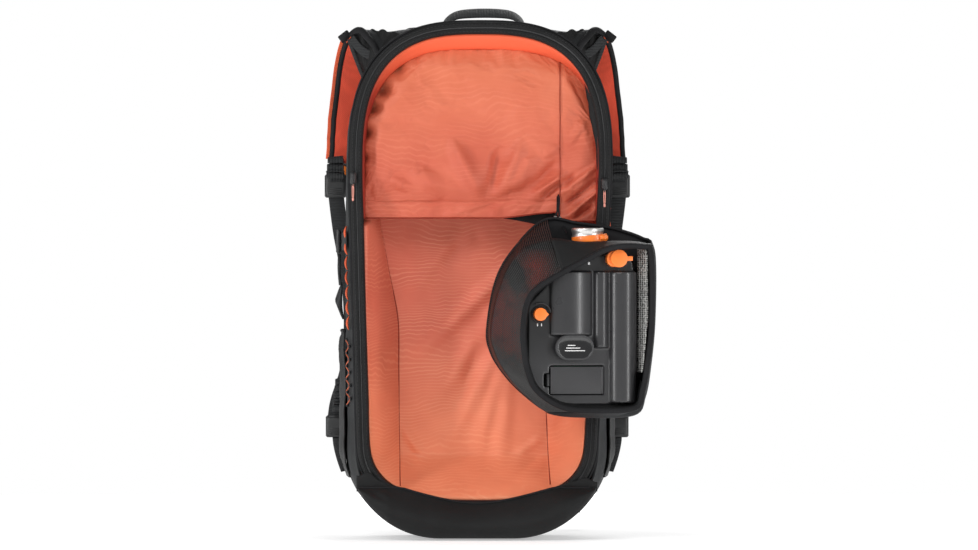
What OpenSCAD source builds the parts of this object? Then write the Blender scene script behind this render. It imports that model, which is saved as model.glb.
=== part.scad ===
// Avalanche airbag backpack, standing on its base. The U-shaped front panel is unzipped and
// folded down, and the inflation unit hangs out of the opening in its mesh pouch.
// Origin: centre of the flat base. +Z is up, +Y points to the wearer's back, and +X is to the
// right when the open front is seen.

/* [Pack] */
// Half width of the pack at its base
base_half_w = 152; // [148:1:155]
// Half width of the pack where the dome of its top begins
top_half_w = 150; // [147:1:153]
// Height of the domed top
pack_h = 587; // [584:1:592]
// Radius of the lower corners
corner_r = 105; // [95:1:110]
// Thickness of the padded side walls
wall_t = 3; // [2.5:0.1:3.2]

/* [Front opening] */
// Half width of the opening at its foot
opening_low_w = 122; // [119:1:123]
// Half width of the opening where its dome begins
opening_high_w = 134; // [132:1:135]
// Height of the opening's top
opening_top = 572; // [568:1:573]
// Height of the opening's lowest edge
opening_foot = 44.5; // [42:0.5:46]
// Width of the zipper rim round the opening
rim_w = 14; // [11:0.5:14]

/* [Straps] */
// Width of a shoulder strap
strap_w = 60; // [50:1:60]
// Thickness of a shoulder strap
strap_t = 10; // [8:0.5:10]
// Height of a hip wing where it joins the pack
wing_h = 90; // [70:1:92]
// Width of the webbing
webbing_w = 20; // [16:1:22]

/* [Inflation unit] */
// Width of the unit's housing
unit_w = 122.2; // [121.6:0.2:122.6]
// Height of the unit's housing
unit_h = 168; // [167:0.5:168]
// Angle by which the hanging pouch faces the right-hand side
unit_yaw = 14; // [13:0.5:14]
// Radius of the long tube on the housing
tube_r = 17; // [16.6:0.1:17]

/* [Hidden] */
$fn = 48;
seam = 0.03;           // gap between two wall panels, as a part of one outline step
clear = 0.3;           // gap between neighbouring pieces
dome_z = 400;          // height where the dome of the top begins
dome_power = 2.8;      // squareness of the dome
opening_power = 2.8;   // squareness of the opening's dome and foot
dome_n = 14;
side_n = 5;
corner_n = 9;
ring_n = 2 * (dome_n + side_n + corner_n) + 1;
top_end = 9;           // outline step where the top panel meets the side panels
base_start = 24;       // outline step where the side panels meet the base panel
rim_front = -92;       // front face of the zipper rim
rim_back = -82.3;
pouch_front_y = -155;  // front plane of the pouch at its middle
pouch_back_y = -97;
web_t = 2;             // thickness of the webbing
lining_t = 2;
hinge_r = 1.6;         // hinge rod of the battery door
spindle_r = 2;         // spindle of the selector knob
knob_at = [-54.6, 101.4];  // selector knob on the housing
cap_at = [35.5, 164];      // trigger cap on the housing
housing_shift = 5.9;   // the housing's middle, left of the unit's origin
housing_curve = 50;    // radius of the housing's lower left corner
door_w = 60;
door_h = 30.5;
door_right = 18.6;     // hinge edge of the battery door, across the unit
door_foot = 12;
cover_front = -28;     // front face of the unit's cover, behind its ridges
cover_back = -14.3;

// Pack sections from front to back: y, half width at the base, half width at the dome,
// top, foot, corner radius
stations = [
    [-82, base_half_w - 14, top_half_w - 3, pack_h - 3, 2, corner_r - 5],
    [-56, base_half_w - 5, top_half_w - 1, pack_h, 0, corner_r],
    [40, base_half_w, top_half_w, pack_h - 1, 0, corner_r],
    [66, base_half_w - 5, top_half_w - 4, pack_h - 9, 2, corner_r - 3]];

// Edges of the pouch as x, z from its top right corner, clockwise: at the pack, half way, front
pouch_rear = [[154, 352], [187, 341], [197, 329], [196, 249], [189, 190], [184, 160], [174, 145],
    [120, 143], [80, 147], [50, 168], [28, 192], [15, 215], [12, 240], [22, 294], [43, 330],
    [77, 362], [115, 358]];
pouch_mid = [[156, 335], [188, 333], [199, 323], [199, 249], [194, 195], [188, 162], [176, 143],
    [120, 141], [80, 146], [52, 166], [32, 190], [20, 215], [16, 240], [27, 292], [48, 327],
    [80, 338], [118, 334]];
pouch_front = [[152, 331], [187, 332], [196.5, 322], [197.5, 249], [192.5, 200], [187, 170],
    [177, 149], [122, 147], [92, 152], [66, 170], [56, 192], [52, 215], [51, 240], [56, 270],
    [68, 286], [94, 302], [124, 318]];
pouch_n = len(pouch_rear);
pouch_middle = [115, 240];

// Centre line of the left shoulder strap, from its seam at the yoke to its end
strap_path = [[-78, 98, 548], [-86, 103, 562], [-97, 114, 574], [-111, 130, 577],
    [-124, 146, 564], [-131, 156, 538], [-135, 160, 506], [-140, 161, 475], [-146, 159, 450],
    [-154, 154, 428]];
strap_widths = [60, 60, 60, 60, 60, 60, 60, 58, 50, 36];
// Left lower webbing, from the ladder lock to the side of the base
lower_path = [[-164, 148, 387], [-159, 146, 350], [-150, 138, 300], [-146, 124, 245],
    [-149, 100, 195], [-160, 70, 156], [-162.5, 56, 141]];
// Left side webbing round the pack
side_path = [[-147.2, -79], [-150.6, -56], [-153.4, 40], [-150.2, 64]];
// Left hip wing, seen from above, and its height at each point
wing_path = [[-110, 78], [-124, 100], [-131, 135], [-129, 175], [-121, 215], [-116, 232]];
wing_heights = [wing_h, wing_h, 86, 76, 60, 46];
// Haul loop, seen from the front
haul_path = [[-40, 584], [-36, 595], [-24, 603], [-4, 606], [22, 606], [40, 603], [51, 595],
    [54, 583]];
// Airbag neck, from the airbag to the unit's outlet
neck_path = [[104, -8, 399.5], [104, -8, 388], [105, -16, 366], [107, -32, 349],
    [110, -52, 340], [113, -72, 337], [116, -93, 337]];

fabric_black = [0.13, 0.14, 0.15];
lining_orange = [0.88, 0.42, 0.3];
strap_red = [0.78, 0.28, 0.18];
plastic_dark = [0.19, 0.19, 0.2];
knob_orange = [0.98, 0.47, 0.16];
silver = [0.7, 0.7, 0.7];

// ---------------------------------------------------------------- shape functions

function mix(a, b, t) = a * (1 - t) + b * t;
function unit_of(v) = v / norm(v);
function tangent(path, i) = unit_of(path[min(i + 1, len(path) - 1)] - path[max(i - 1, 0)]);

// Point at a fractional step on a closed ring of points
function ring_at(ring, t) = let (n = len(ring), k = floor(t))
    mix(ring[(k % n + n) % n], ring[((k + 1) % n + n) % n], t - k);

// Mirror the right half of an outline, whose first point lies on the centre line
function both_halves(right) =
    concat(right, [for (i = [len(right) - 1 : -1 : 1]) [-right[i][0], right[i][1]]]);

// Front view of the pack, grown by g: domed top, nearly straight sides, round lower corners
function pack_outline(low_w, high_w, top, foot, r, g = 0) = both_halves(concat(
    [for (i = [0 : dome_n]) let (a = 90 - 90 * i / dome_n)
        [(high_w + g) * pow(cos(a), 2 / dome_power),
         dome_z + (top - dome_z + g) * pow(sin(a), 2 / dome_power)]],
    [for (i = [1 : side_n]) [mix(high_w, low_w, i / side_n) + g, mix(dome_z, foot + r, i / side_n)]],
    [for (i = [1 : corner_n]) let (a = -90 * i / corner_n)
        [low_w - r + (r + g) * cos(a), foot + r + (r + g) * sin(a)]]));

function station_outline(s, g = 0) = pack_outline(s[1], s[2], s[3], s[4], s[5], g);

// Front opening, grown by g: a dome over straight sides over a shallow bowl
function opening_outline(g = 0) = let (
    dome_x = 4, dome_foot = 420, bowl_top = 120, step = 7.5,
    dome = [for (a = [0 : step : 180])
        [dome_x + (opening_high_w + g) * sign(cos(a)) * pow(abs(cos(a)), 2 / opening_power),
         dome_foot + (opening_top - dome_foot + g) * pow(abs(sin(a)), 2 / opening_power)]],
    bowl = [for (a = [180 : step : 360])
        [(opening_low_w + g) * sign(cos(a)) * pow(abs(cos(a)), 2 / opening_power),
         bowl_top - (bowl_top - opening_foot + g) * pow(abs(sin(a)), 2 / opening_power)]])
    concat(dome, bowl);

// Signed volume of a closed mesh: positive when its faces are counter-clockwise from outside
function signed_volume(pts, faces) =
    [for (f = faces) pts[f[0]] * cross(pts[f[1]], pts[f[2]])] * [for (f = faces) 1];

function quad(a, b, c, d) = [[a, b, c], [a, c, d]];

// Closed mesh of triangles, turned the right way out
module closed(pts, faces) {
    inside_out = signed_volume(pts, faces) > 0;
    polyhedron(pts, [for (f = faces) inside_out ? [f[2], f[1], f[0]] : f]);
}

// Closed solid between two grids of points, which have the same rows and columns
module slab(front, back) {
    rows = len(front);
    cols = len(front[0]);
    pts = concat([for (row = front) each row], [for (row = back) each row]);
    other = rows * cols;
    faces = [
        for (r = [0 : rows - 2], c = [0 : cols - 2]) let (i = r * cols + c)
            each concat(quad(i, i + 1, i + cols + 1, i + cols),
                        quad(other + i, other + i + cols, other + i + cols + 1, other + i + 1)),
        for (c = [0 : cols - 2]) let (i = (rows - 1) * cols + c)
            each concat(quad(c, other + c, other + c + 1, c + 1),
                        quad(i, i + 1, other + i + 1, other + i)),
        for (r = [0 : rows - 2]) let (i = r * cols, j = r * cols + cols - 1)
            each concat(quad(i, i + cols, other + i + cols, other + i),
                        quad(j, other + j, other + j + cols, j + cols))];
    closed(pts, faces);
}

// Flat strap that follows a path; side is the direction across its width
module ribbon(path, widths, thick, side) {
    function width_at(i) = is_list(widths) ? widths[i] : widths;
    function face(lift) = [for (i = [0 : len(path) - 1]) let (n = unit_of(cross(side, tangent(path, i))))
        [for (k = [-0.5, 0.5]) path[i] + side * k * width_at(i) + n * lift]];
    slab(face(thick / 2), face(-thick / 2));
}

// Round tube that follows a path in the YZ plane, closed at both ends
module hose(path, r, sides = 12) {
    n = len(path);
    pts = [for (i = [0 : n - 1]) let (across = [1, 0, 0], up = unit_of(cross(tangent(path, i), across)))
        for (a = [0 : 360 / sides : 359]) path[i] + r * (cos(a) * across + sin(a) * up)];
    faces = [for (i = [0 : n - 2], k = [0 : sides - 1]) let (a = i * sides + k, b = i * sides + (k + 1) % sides)
        each quad(a, b, b + sides, a + sides)];
    last = (n - 1) * sides;
    ends = [for (k = [1 : sides - 2]) each [[0, k + 1, k], [last, last + k, last + k + 1]]];
    closed(pts, concat(faces, ends));
}

// Rectangle with round corners, from its lower left corner
module round_rect(w, h, r) {
    translate([r, 0]) square([w - 2 * r, h]);
    translate([0, r]) square([w, h - 2 * r]);
    for (x = [r, w - r], z = [r, h - r]) translate([x, z]) circle(r);
}

// Stand a flat XZ shape up between two depths
module upright(y0, y1) {
    translate([0, y1, 0]) rotate([90, 0, 0]) linear_extrude(y1 - y0) children();
}

// Place a piece of the inflation unit: x across, -y to its front, z up from its foot
module in_unit() {
    translate([116, -112, 154]) rotate([0, 0, unit_yaw]) children();
}

module on_side(s) {
    if (s < 0) children();
    else mirror([1, 0, 0]) children();
}

// ---------------------------------------------------------------- shell

// Part of the padded wall between two steps of the outline
module wall_panel(t0, t1) {
    steps = concat([t0 + seam], [for (t = [t0 + 1 : t1 - 1]) t], [t1 - seam]);
    function skin(g) = [for (s = stations) let (ring = station_outline(s, g))
        [for (t = steps) let (p = ring_at(ring, t)) [p[0], s[0], p[1]]]];
    slab(skin(0), skin(-wall_t));
}

module base_panel() { color(fabric_black) wall_panel(base_start, ring_n - base_start); }
module right_side_panel() { color(fabric_black) wall_panel(top_end, base_start); }
module left_side_panel() { color(fabric_black) wall_panel(ring_n - base_start, ring_n - top_end); }
module top_panel() { color(fabric_black) wall_panel(-top_end, top_end); }

module lower_front_wall() {
    color(fabric_black) upright(-81, -78) difference() {
        intersection() {
            polygon(station_outline(stations[0], -wall_t - 1.5));
            translate([-200, 4]) square([400, 58]);
        }
        polygon(opening_outline(1));
    }
}

module zipper_rim() {
    color(fabric_black) upright(rim_front, rim_back) difference() {
        polygon(opening_outline(rim_w));
        polygon(opening_outline());
    }
}

module back_wall() {
    color(fabric_black) upright(66.3, 69.3) polygon(station_outline(stations[3], -0.5));
}

module frame_sheet() {
    color(silver) upright(69.6, 71.4) polygon(station_outline(stations[3], -18));
}

module back_foam() {
    color(fabric_black) for (x = [-84, 14]) translate([x, 0, 178]) upright(71.8, 92)
        round_rect(70, 318, 22);
}

module lumbar_pad() {
    color(fabric_black) translate([-92, 0, 56]) upright(71.8, 94) round_rect(184, 112, 26);
}

module strap_yoke() {
    color(fabric_black) translate([-104, 0, 504]) upright(71.8, 91) round_rect(208, 52, 10);
}

module front_flap() {
    color(fabric_black) upright(-122, -96) difference() {
        intersection() {
            polygon(pack_outline(base_half_w - 5, top_half_w, pack_h, 2, corner_r));
            translate([-200, 0]) square([400, 60]);
        }
        polygon(opening_outline(2));
    }
}

module haul_loop() {
    color(fabric_black) ribbon([for (p = haul_path) [p[0], 58, p[1]]], 22, web_t, [0, 1, 0]);
}

// ---------------------------------------------------------------- lining and airbag

module airbag_cover() {
    color(lining_orange) upright(-72, -48) intersection() {
        polygon(opening_outline(-16));
        translate([-200, 364]) square([400, 300]);
    }
}

module lower_lining() {
    color(lining_orange) translate([-90, 0, 66]) upright(-14, -14 + lining_t) square([170, 289]);
}

// Side wall of the lining, drawn on the left from its back seam to the rim
module lining_gusset(back_x, top) {
    color(lining_orange) translate([0, 0, 84]) linear_extrude(top - 84)
        polygon([[back_x, -14], [back_x, -16], [-121, -82], [-121 - lining_t, -82]]);
}

module left_lining_gusset() { lining_gusset(-90.5, 355); }
module right_lining_gusset() { on_side(1) lining_gusset(-80.5, 318); }

module bottom_lining_gusset() {
    color(lining_orange) translate([-88, 0, 0]) rotate([90, 0, 90]) linear_extrude(166)
        polygon([[-77.5, 51], [-77.5, 53], [-14.5, 65.5], [-14.5, 63.5]]);
}

module lining_ceiling() {
    steps = [1 : 1 : 23];
    function skin(g) = [for (s = [[-82, 0], [-73, -12]]) let (ring = opening_outline(g + s[1]))
        [for (t = steps) let (p = ring_at(ring, t)) [p[0], s[0], p[1]]]];
    color(lining_orange) slab(skin(-0.5), skin(-2));
}

module airbag() {
    color(lining_orange) upright(-46, 60) intersection() {
        polygon(opening_outline(-6));
        translate([-200, 400]) square([400, 300]);
    }
}

module airbag_neck() { color(lining_orange) hose(neck_path, 16); }

// ---------------------------------------------------------------- zip sliders

// Slider body with its cord pull, with the middle of its body at x, z
module zip_slider(x, z) {
    color(plastic_dark) translate([x - 4, -98, z - 7]) cube([8, 5.5, 14]);
    color(knob_orange) translate([x - 1.5, -99.5, z - 27]) cube([3, 3, 19]);
}

module left_zip_slider() { zip_slider(-140, 409); }
module right_zip_slider() { zip_slider(144, 402); }

// ---------------------------------------------------------------- shoulder straps

module shoulder_pad() { ribbon(strap_path, strap_widths, strap_t, [1, 0, 0]); }
module left_shoulder_pad() { color(strap_red) shoulder_pad(); }
module right_shoulder_pad() { color(strap_red) on_side(1) shoulder_pad(); }

// Ladder lock under a shoulder strap, with the spare webbing rolled up over it
module strap_lock() {
    color(plastic_dark) translate([-178, 0, 389]) upright(144, 152) difference() {
        round_rect(26, 28, 4);
        for (z = [6, 15.5]) translate([4, z]) square([18, 5.5]);
    }
    color(fabric_black) translate([-175, 0, 417.5]) upright(134, 147.5) round_rect(14, 14, 5);
}

module left_strap_lock() { strap_lock(); }
module right_strap_lock() { on_side(1) strap_lock(); }

module lower_webbing() { color(fabric_black) ribbon(lower_path, 18, web_t, [1, 0, 0]); }
module left_strap_webbing() { lower_webbing(); }
module right_strap_webbing() { on_side(1) lower_webbing(); }

// Ladder lock and rolled webbing on the side of the base, with the sewn fin that holds them
module lower_lock() {
    color(plastic_dark) translate([-174, 0, 113]) upright(48, 56) round_rect(21, 25, 4);
    color(fabric_black) translate([-166, 0, 141]) upright(36, 51) round_rect(12, 36, 5);
    color(fabric_black) upright(50, 54) polygon([[-167, 112.6], [-153.5, 112.6], [-151.5, 74], [-156, 72],
        [-163, 92]]);
}

module left_lower_lock() { lower_lock(); }
module right_lower_lock() { on_side(1) lower_lock(); }

// Side compression webbing with its buckle and a triangular lash tab under it
module side_strap() {
    color(fabric_black) ribbon([for (p = side_path) [p[0], p[1], 338]], webbing_w, web_t, [0, 0, 1]);
    color(plastic_dark) translate([-160, -34, 324]) cube([5, 34, 28]);
    color(fabric_black) translate([-157, -16, 256]) rotate([90, 0, 90]) linear_extrude(3)
        polygon([[0, 30], [28, 15], [0, 0]]);
}

module left_side_strap() { side_strap(); }
module right_side_strap() { on_side(1) side_strap(); }

// Sternum strap: slider on the strap, webbing that hangs from it, and a buckle half
module sternum_strap() {
    color(plastic_dark) translate([-150, 167, 514]) cube([34, 5, 14]);
    color(fabric_black) translate([-119, 168, 440]) cube([webbing_w, web_t, 80]);
    color(plastic_dark) translate([-121, 166, 414]) cube([24, 7, 26]);
}

module left_sternum_strap() { sternum_strap(); }
module right_sternum_strap() { on_side(1) sternum_strap(); }

// Pocket on the left strap that holds the trigger handle, open downwards
module trigger_sleeve() {
    color(fabric_black) translate([-157, 167, 440]) difference() {
        cube([32, 16, 50]);
        translate([4, 3, -1]) cube([24, 10, 46]);
    }
}

module trigger_handle() {
    color(knob_orange) {
        translate([-152, 171, 439]) cube([22, 8, 40]);
        translate([-159, 169, 412]) cube([36, 12, 27.2]);
    }
}

// ---------------------------------------------------------------- hip belt

module hip_wing() {
    color(fabric_black) ribbon([for (p = wing_path) [p[0], p[1], 100]], wing_heights, 12, [0, 0, 1]);
    color(fabric_black) translate([-117, 233, 58]) cube([web_t, 18, 50]);
}

module left_hip_wing() { hip_wing(); }
module right_hip_wing() { on_side(1) hip_wing(); }

module hip_buckle_male() {
    color(plastic_dark) {
        translate([-119, 231, 38]) cube([6, 22, 19.6]);
        for (y = [232, 240, 248]) translate([-118, y, 20]) cube([4, 4, 18]);
    }
}

module hip_buckle_female() {
    color(plastic_dark) on_side(1) translate([-121, 229, 20]) difference() {
        cube([10, 26, 37.6]);
        translate([2, 2, -1]) cube([6, 22, 24]);
    }
}

// ---------------------------------------------------------------- pouch of the unit

// Front plane of the pouch, turned like the unit
function front_y(x) = pouch_front_y + (x - 116) * tan(unit_yaw) * 0.8;

// Wall of the pouch between two steps of its edge, from row r0 to row r1 of its three edges
module pouch_wall(t0, t1, r0, r1) {
    edges = [[pouch_rear, 0], [pouch_mid, 0.7], [pouch_front, 1]];
    steps = concat([t0 + seam], [for (t = [t0 + 0.5 : 0.5 : t1 - 0.5]) t], [t1 - seam]);
    function inset(p, g) = p - unit_of(p - pouch_middle) * g;
    function skin(g) = [for (r = [r0 : r1]) let (e = edges[r])
        [for (t = steps) let (p = inset(ring_at(e[0], t), g))
            [p[0], mix(pouch_back_y - clear, front_y(p[0]), e[1]), p[1]]]];
    slab(skin(0), skin(2));
}

module pouch_back() {
    color(fabric_black) upright(pouch_back_y, pouch_back_y + 1.6) polygon(pouch_rear);
}

module pouch_gusset() { color(fabric_black) pouch_wall(8, 15, 0, 2); }
module pouch_side() { color(fabric_black) pouch_wall(1, 8, 0, 2); }
module pouch_top() { color(fabric_black) pouch_wall(15, 18, 1, 2); }

module pouch_binding() {
    steps = [for (k = [0 : 2 * pouch_n]) mix(seam, pouch_n - seam, k / 2 / pouch_n)];
    function skin(g, y) = [for (k = [0, 5]) [for (t = steps)
        let (q = ring_at(pouch_front, t), p = q + unit_of(q - pouch_middle) * (g - k))
        [p[0], front_y(q[0]) + y, p[1]]]];
    color(fabric_black) slab(skin(1.5, -2 * clear), skin(1.5, -2 * clear - 3));
}

// ---------------------------------------------------------------- inflation unit

function arc(x, z, r, a0, a1, n = 8) =
    [for (i = [0 : n]) let (a = mix(a0, a1, i / n)) [x + r * cos(a), z + r * sin(a)]];

// Front view of the housing, shrunk by g: wide curve at the lower left, cut upper left corner
module housing_plan(g = 0) {
    left = -unit_w / 2 - housing_shift;
    right = unit_w / 2 - housing_shift;
    curve = housing_curve;
    polygon(concat(
        arc(left + curve, curve, curve - g, 180, 270), arc(right - 14, 14, 14 - g, 270, 360),
        arc(right - 14, unit_h - 14, 14 - g, 0, 90), [[-14 + g / 2, unit_h - g], [left + g, 112 - g / 2]]));
}

// Cross-section of the wide ridge seen from above; g grows it
module ridge_section(g = 0) {
    intersection() {
        translate([-18, 2]) circle(40 + g);
        translate([-60, -60]) square([80, 40]);
    }
}

// The wide ridge over the fan, cut to the housing's outline
module ridge(g, z0, z1) {
    intersection() {
        translate([0, 0, z0]) linear_extrude(z1 - z0) ridge_section(-g);
        translate([-42 + g, -60, 0]) cube([48 - 2 * g, 60, 200]);
        upright(-60, 0) housing_plan(g);
    }
}

module tube_solid(r, z0, z1) {
    translate([42.4, -23, z0]) cylinder(r = r, h = z1 - z0);
}

module unit_cover() {
    color(plastic_dark) in_unit() difference() {
        union() {
            upright(cover_front, cover_back) housing_plan();
            ridge(0, 78, 149);
            translate([17, -27, 64]) cylinder(r = 8.6, h = 85);
            tube_solid(tube_r, 2, 149);
        }
        upright(cover_front + 2.5, cover_back + 1) housing_plan(2.5);
        ridge(2.5, 80.5, 146.5);
        tube_solid(tube_r - 2.5, 4.5, 146.5);
        translate([25, cover_back, -1]) cube([40, 40, unit_h + 2]);
        upright(cover_front - 1, cover_front + 3) translate([door_right - door_w - 1, door_foot - 1])
            square([door_w + 1, door_h + 2]);
        translate([door_right, cover_front + 0.4, door_foot - 1]) cylinder(r = hinge_r + 0.6, h = door_h + 2);
        upright(cover_front - 1, cover_front + 3) translate([-49, 20]) square([6.4, 15]);
        upright(cover_front - 1, cover_front + 3) translate(knob_at) circle(spindle_r + 0.05);
    }
}

module unit_base() {
    color(plastic_dark) in_unit() difference() {
        upright(cover_back + clear, 0) housing_plan();
        upright(-20, -2.5) housing_plan(2.5);
    }
}

module capacitors() {
    color(silver) in_unit() {
        for (z = [8, 78]) translate([41, -24, z]) cylinder(r = 12, h = 66);
    }
}

module motor() {
    color(silver) in_unit() upright(-15.6, -3) translate([-18, 116]) circle(14);
}

module impeller() {
    color("white") in_unit() {
        upright(-19, -17.5) translate([-18, 116]) circle(20);
        for (k = [0 : 8]) translate([-18, 0, 116]) rotate([0, k * 40, 0])
            translate([7, -23.5, -0.6]) cube([12.5, 4.6, 1.2]);
        upright(-23.5, -18.9) translate([-18, 116]) circle(7.5);
        upright(-17.6, -15.8) translate([-18, 116]) circle(3);
    }
}

module volute() {
    color(fabric_black) in_unit() difference() {
        upright(-25.2, -15.9) translate([-18, 116]) circle(23.4);
        upright(-24, -16.8) translate([-18, 116]) circle(21.6);
        upright(-26, -23) translate([-18, 116]) circle(10);
        upright(-17, -15) translate([-18, 116]) circle(5);
    }
}

module circuit_board() {
    color("seagreen") in_unit() upright(-5.2, -3.6) translate([-32, 12]) square([56, 74]);
}

module battery_cells() {
    color(silver) in_unit() for (z = [19.6, 34.6]) translate([-37, -16.8, z]) rotate([0, 90, 0])
        cylinder(r = 7.1, h = 50.5);
}

module battery_door() {
    color(plastic_dark) in_unit() {
        upright(cover_front - 0.4, cover_front + 1.6) translate([door_right - door_w, door_foot])
            square([door_w - 1.2, door_h]);
        translate([door_right, cover_front + 0.4, door_foot]) cylinder(r = hinge_r, h = door_h);
    }
}

module battery_latch() {
    color(fabric_black) in_unit() upright(cover_front - 1, cover_front + 2.4) translate([-45.9, 20.6])
        square([3, 13.8]);
}

module selector_knob() {
    color(knob_orange) in_unit() {
        upright(-36, cover_front - 0.3) translate(knob_at) circle(7.2);
        upright(-36, -32.6) translate(knob_at) polygon([[3, 6], [9.6, 0], [3, -6]]);
        upright(-31, -23) translate(knob_at) circle(spindle_r);
    }
}

module trigger_cap() {
    color(knob_orange) in_unit() {
        upright(-39, cover_front - 0.3) translate(cap_at) circle(9.8);
        upright(-36.5, cover_front - 0.3) translate(cap_at - [4.5, 0.4]) circle(9);
        upright(-38, -31) translate(cap_at + [8, -2.5]) square([8, 5]);
    }
}

module badge() {
    color(fabric_black) in_unit() upright(-38.5, cover_front - 0.1) translate([-39.6, 43.4])
        round_rect(48, 34, 16.9);
}

module outlet_ring() {
    color(silver) in_unit() translate([6, -3.8, unit_h + 0.3]) difference() {
        cylinder(r = 16.8, h = 28);
        translate([0, 0, -1]) cylinder(r = 14.3, h = 30);
    }
}

// ---------------------------------------------------------------- the pieces

base_panel();
left_side_panel();
right_side_panel();
top_panel();
lower_front_wall();
zipper_rim();
back_wall();
frame_sheet();
back_foam();
lumbar_pad();
strap_yoke();
airbag_cover();
lower_lining();
left_lining_gusset();
right_lining_gusset();
bottom_lining_gusset();
lining_ceiling();
airbag();
airbag_neck();
haul_loop();
front_flap();
left_zip_slider();
right_zip_slider();
left_shoulder_pad();
right_shoulder_pad();
left_strap_lock();
right_strap_lock();
left_strap_webbing();
right_strap_webbing();
left_side_strap();
right_side_strap();
left_lower_lock();
right_lower_lock();
left_hip_wing();
right_hip_wing();
hip_buckle_male();
hip_buckle_female();
left_sternum_strap();
right_sternum_strap();
trigger_sleeve();
trigger_handle();
pouch_back();
pouch_gusset();
pouch_side();
pouch_top();
pouch_binding();
unit_base();
unit_cover();
capacitors();
motor();
impeller();
volute();
circuit_board();
battery_cells();
battery_door();
battery_latch();
selector_knob();
trigger_cap();
badge();
outlet_ring();
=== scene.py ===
"""Looks of the avalanche airbag backpack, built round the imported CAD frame, in metres."""
import math
import bmesh
import bpy
import numpy as np
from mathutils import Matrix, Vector


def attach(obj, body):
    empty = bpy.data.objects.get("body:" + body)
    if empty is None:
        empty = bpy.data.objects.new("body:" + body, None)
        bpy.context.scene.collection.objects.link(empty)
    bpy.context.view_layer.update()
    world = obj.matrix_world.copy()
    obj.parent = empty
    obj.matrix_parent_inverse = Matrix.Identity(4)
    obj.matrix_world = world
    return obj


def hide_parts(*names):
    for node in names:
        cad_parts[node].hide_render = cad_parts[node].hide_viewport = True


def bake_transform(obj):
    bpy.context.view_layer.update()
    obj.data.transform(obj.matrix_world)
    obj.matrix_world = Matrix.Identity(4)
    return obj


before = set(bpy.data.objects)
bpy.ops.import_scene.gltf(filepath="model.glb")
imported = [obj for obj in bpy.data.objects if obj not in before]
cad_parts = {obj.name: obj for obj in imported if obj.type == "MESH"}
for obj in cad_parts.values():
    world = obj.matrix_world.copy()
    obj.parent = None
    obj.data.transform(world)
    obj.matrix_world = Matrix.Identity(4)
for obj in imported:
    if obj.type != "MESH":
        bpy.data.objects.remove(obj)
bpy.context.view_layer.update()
MM = 0.001

# ------------------------------------------------------------------ dimensions, in millimetres

BASE_HALF, TOP_HALF, PACK_H, CORNER_R = 152, 150, 587, 105
DOME_Z, DOME_POWER, OPENING_POWER = 400, 2.8, 2.8
OPEN_LOW, OPEN_HIGH, OPEN_TOP, OPEN_FOOT, DOME_SHIFT = 122, 134, 572, 44.5, 4
OPENING_DOME_Z, OPENING_CORNER_Z = 420, 120
STATIONS = [(-82, BASE_HALF - 14, TOP_HALF - 3, PACK_H - 3, 2, CORNER_R - 5),
            (-56, BASE_HALF - 5, TOP_HALF - 1, PACK_H, 0, CORNER_R),
            (40, BASE_HALF, TOP_HALF, PACK_H - 1, 0, CORNER_R),
            (66, BASE_HALF - 5, TOP_HALF - 4, PACK_H - 9, 2, CORNER_R - 3)]
POUCH_REAR = [(154, 352), (187, 341), (197, 329), (196, 249), (189, 190), (184, 160), (174, 145),
              (120, 143), (80, 147), (50, 168), (28, 192), (15, 215), (12, 240), (22, 294), (43, 330),
              (77, 362), (115, 358)]
POUCH_MID = [(156, 335), (188, 333), (199, 323), (199, 249), (194, 195), (188, 162), (176, 143),
             (120, 141), (80, 146), (52, 166), (32, 190), (20, 215), (16, 240), (27, 292), (48, 327),
             (80, 338), (118, 334)]
POUCH_FRONT = [(152, 331), (187, 332), (196.5, 322), (197.5, 249), (192.5, 200), (187, 170), (177, 149),
               (122, 147), (92, 152), (66, 170), (56, 192), (52, 215), (51, 240), (56, 270), (68, 286),
               (94, 302), (124, 318)]
POUCH_Y, POUCH_FRONT_Y = -97, -155
UNIT_AT, YAW = (116, -112, 154), math.radians(14)
STRAP_PATH = [(-78, 98, 548), (-86, 103, 562), (-97, 114, 574), (-111, 130, 577), (-124, 146, 564),
              (-131, 156, 538), (-135, 160, 506), (-140, 161, 475), (-146, 159, 450), (-154, 154, 428)]
STRAP_WIDTHS = [60, 60, 60, 60, 60, 60, 60, 58, 50, 36]
LOWER_PATH = [(-164.5, 148, 399), (-164, 148, 389), (-159, 146, 350), (-150, 138, 300), (-146, 124, 245),
              (-149, 100, 195), (-160, 70, 156), (-162.5, 56, 141), (-163.4, 54, 131)]
WING_PATH = [(-110, 78), (-124, 100), (-131, 135), (-129, 175), (-121, 215), (-116, 232)]
WING_HEIGHTS = [90, 90, 86, 76, 60, 46]
HAUL_PATH = [(-40, 584), (-36, 595), (-24, 603), (-4, 606), (22, 606), (40, 603), (51, 595), (54, 583)]

# ------------------------------------------------------------------ camera, lights and floor

PHOTO_CENTRE, CAMERA_DISTANCE, CAMERA_LENS = (0.0136, 0.2995), 8.0, 257.7


def aim(obj, target):
    """Turn a camera or light towards a point."""
    obj.rotation_euler = (Vector(target) - obj.location).to_track_quat("-Z", "Y").to_euler()


def area_light(name, place, target, size, power):
    """A white rectangular lamp that faces its target; power in watts."""
    data = bpy.data.lights.new(name, "AREA")
    data.shape = "RECTANGLE"
    data.size, data.size_y = size
    data.energy = power
    light = bpy.data.objects.new(name, data)
    bpy.context.scene.collection.objects.link(light)
    light.location = place
    aim(light, target)


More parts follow.
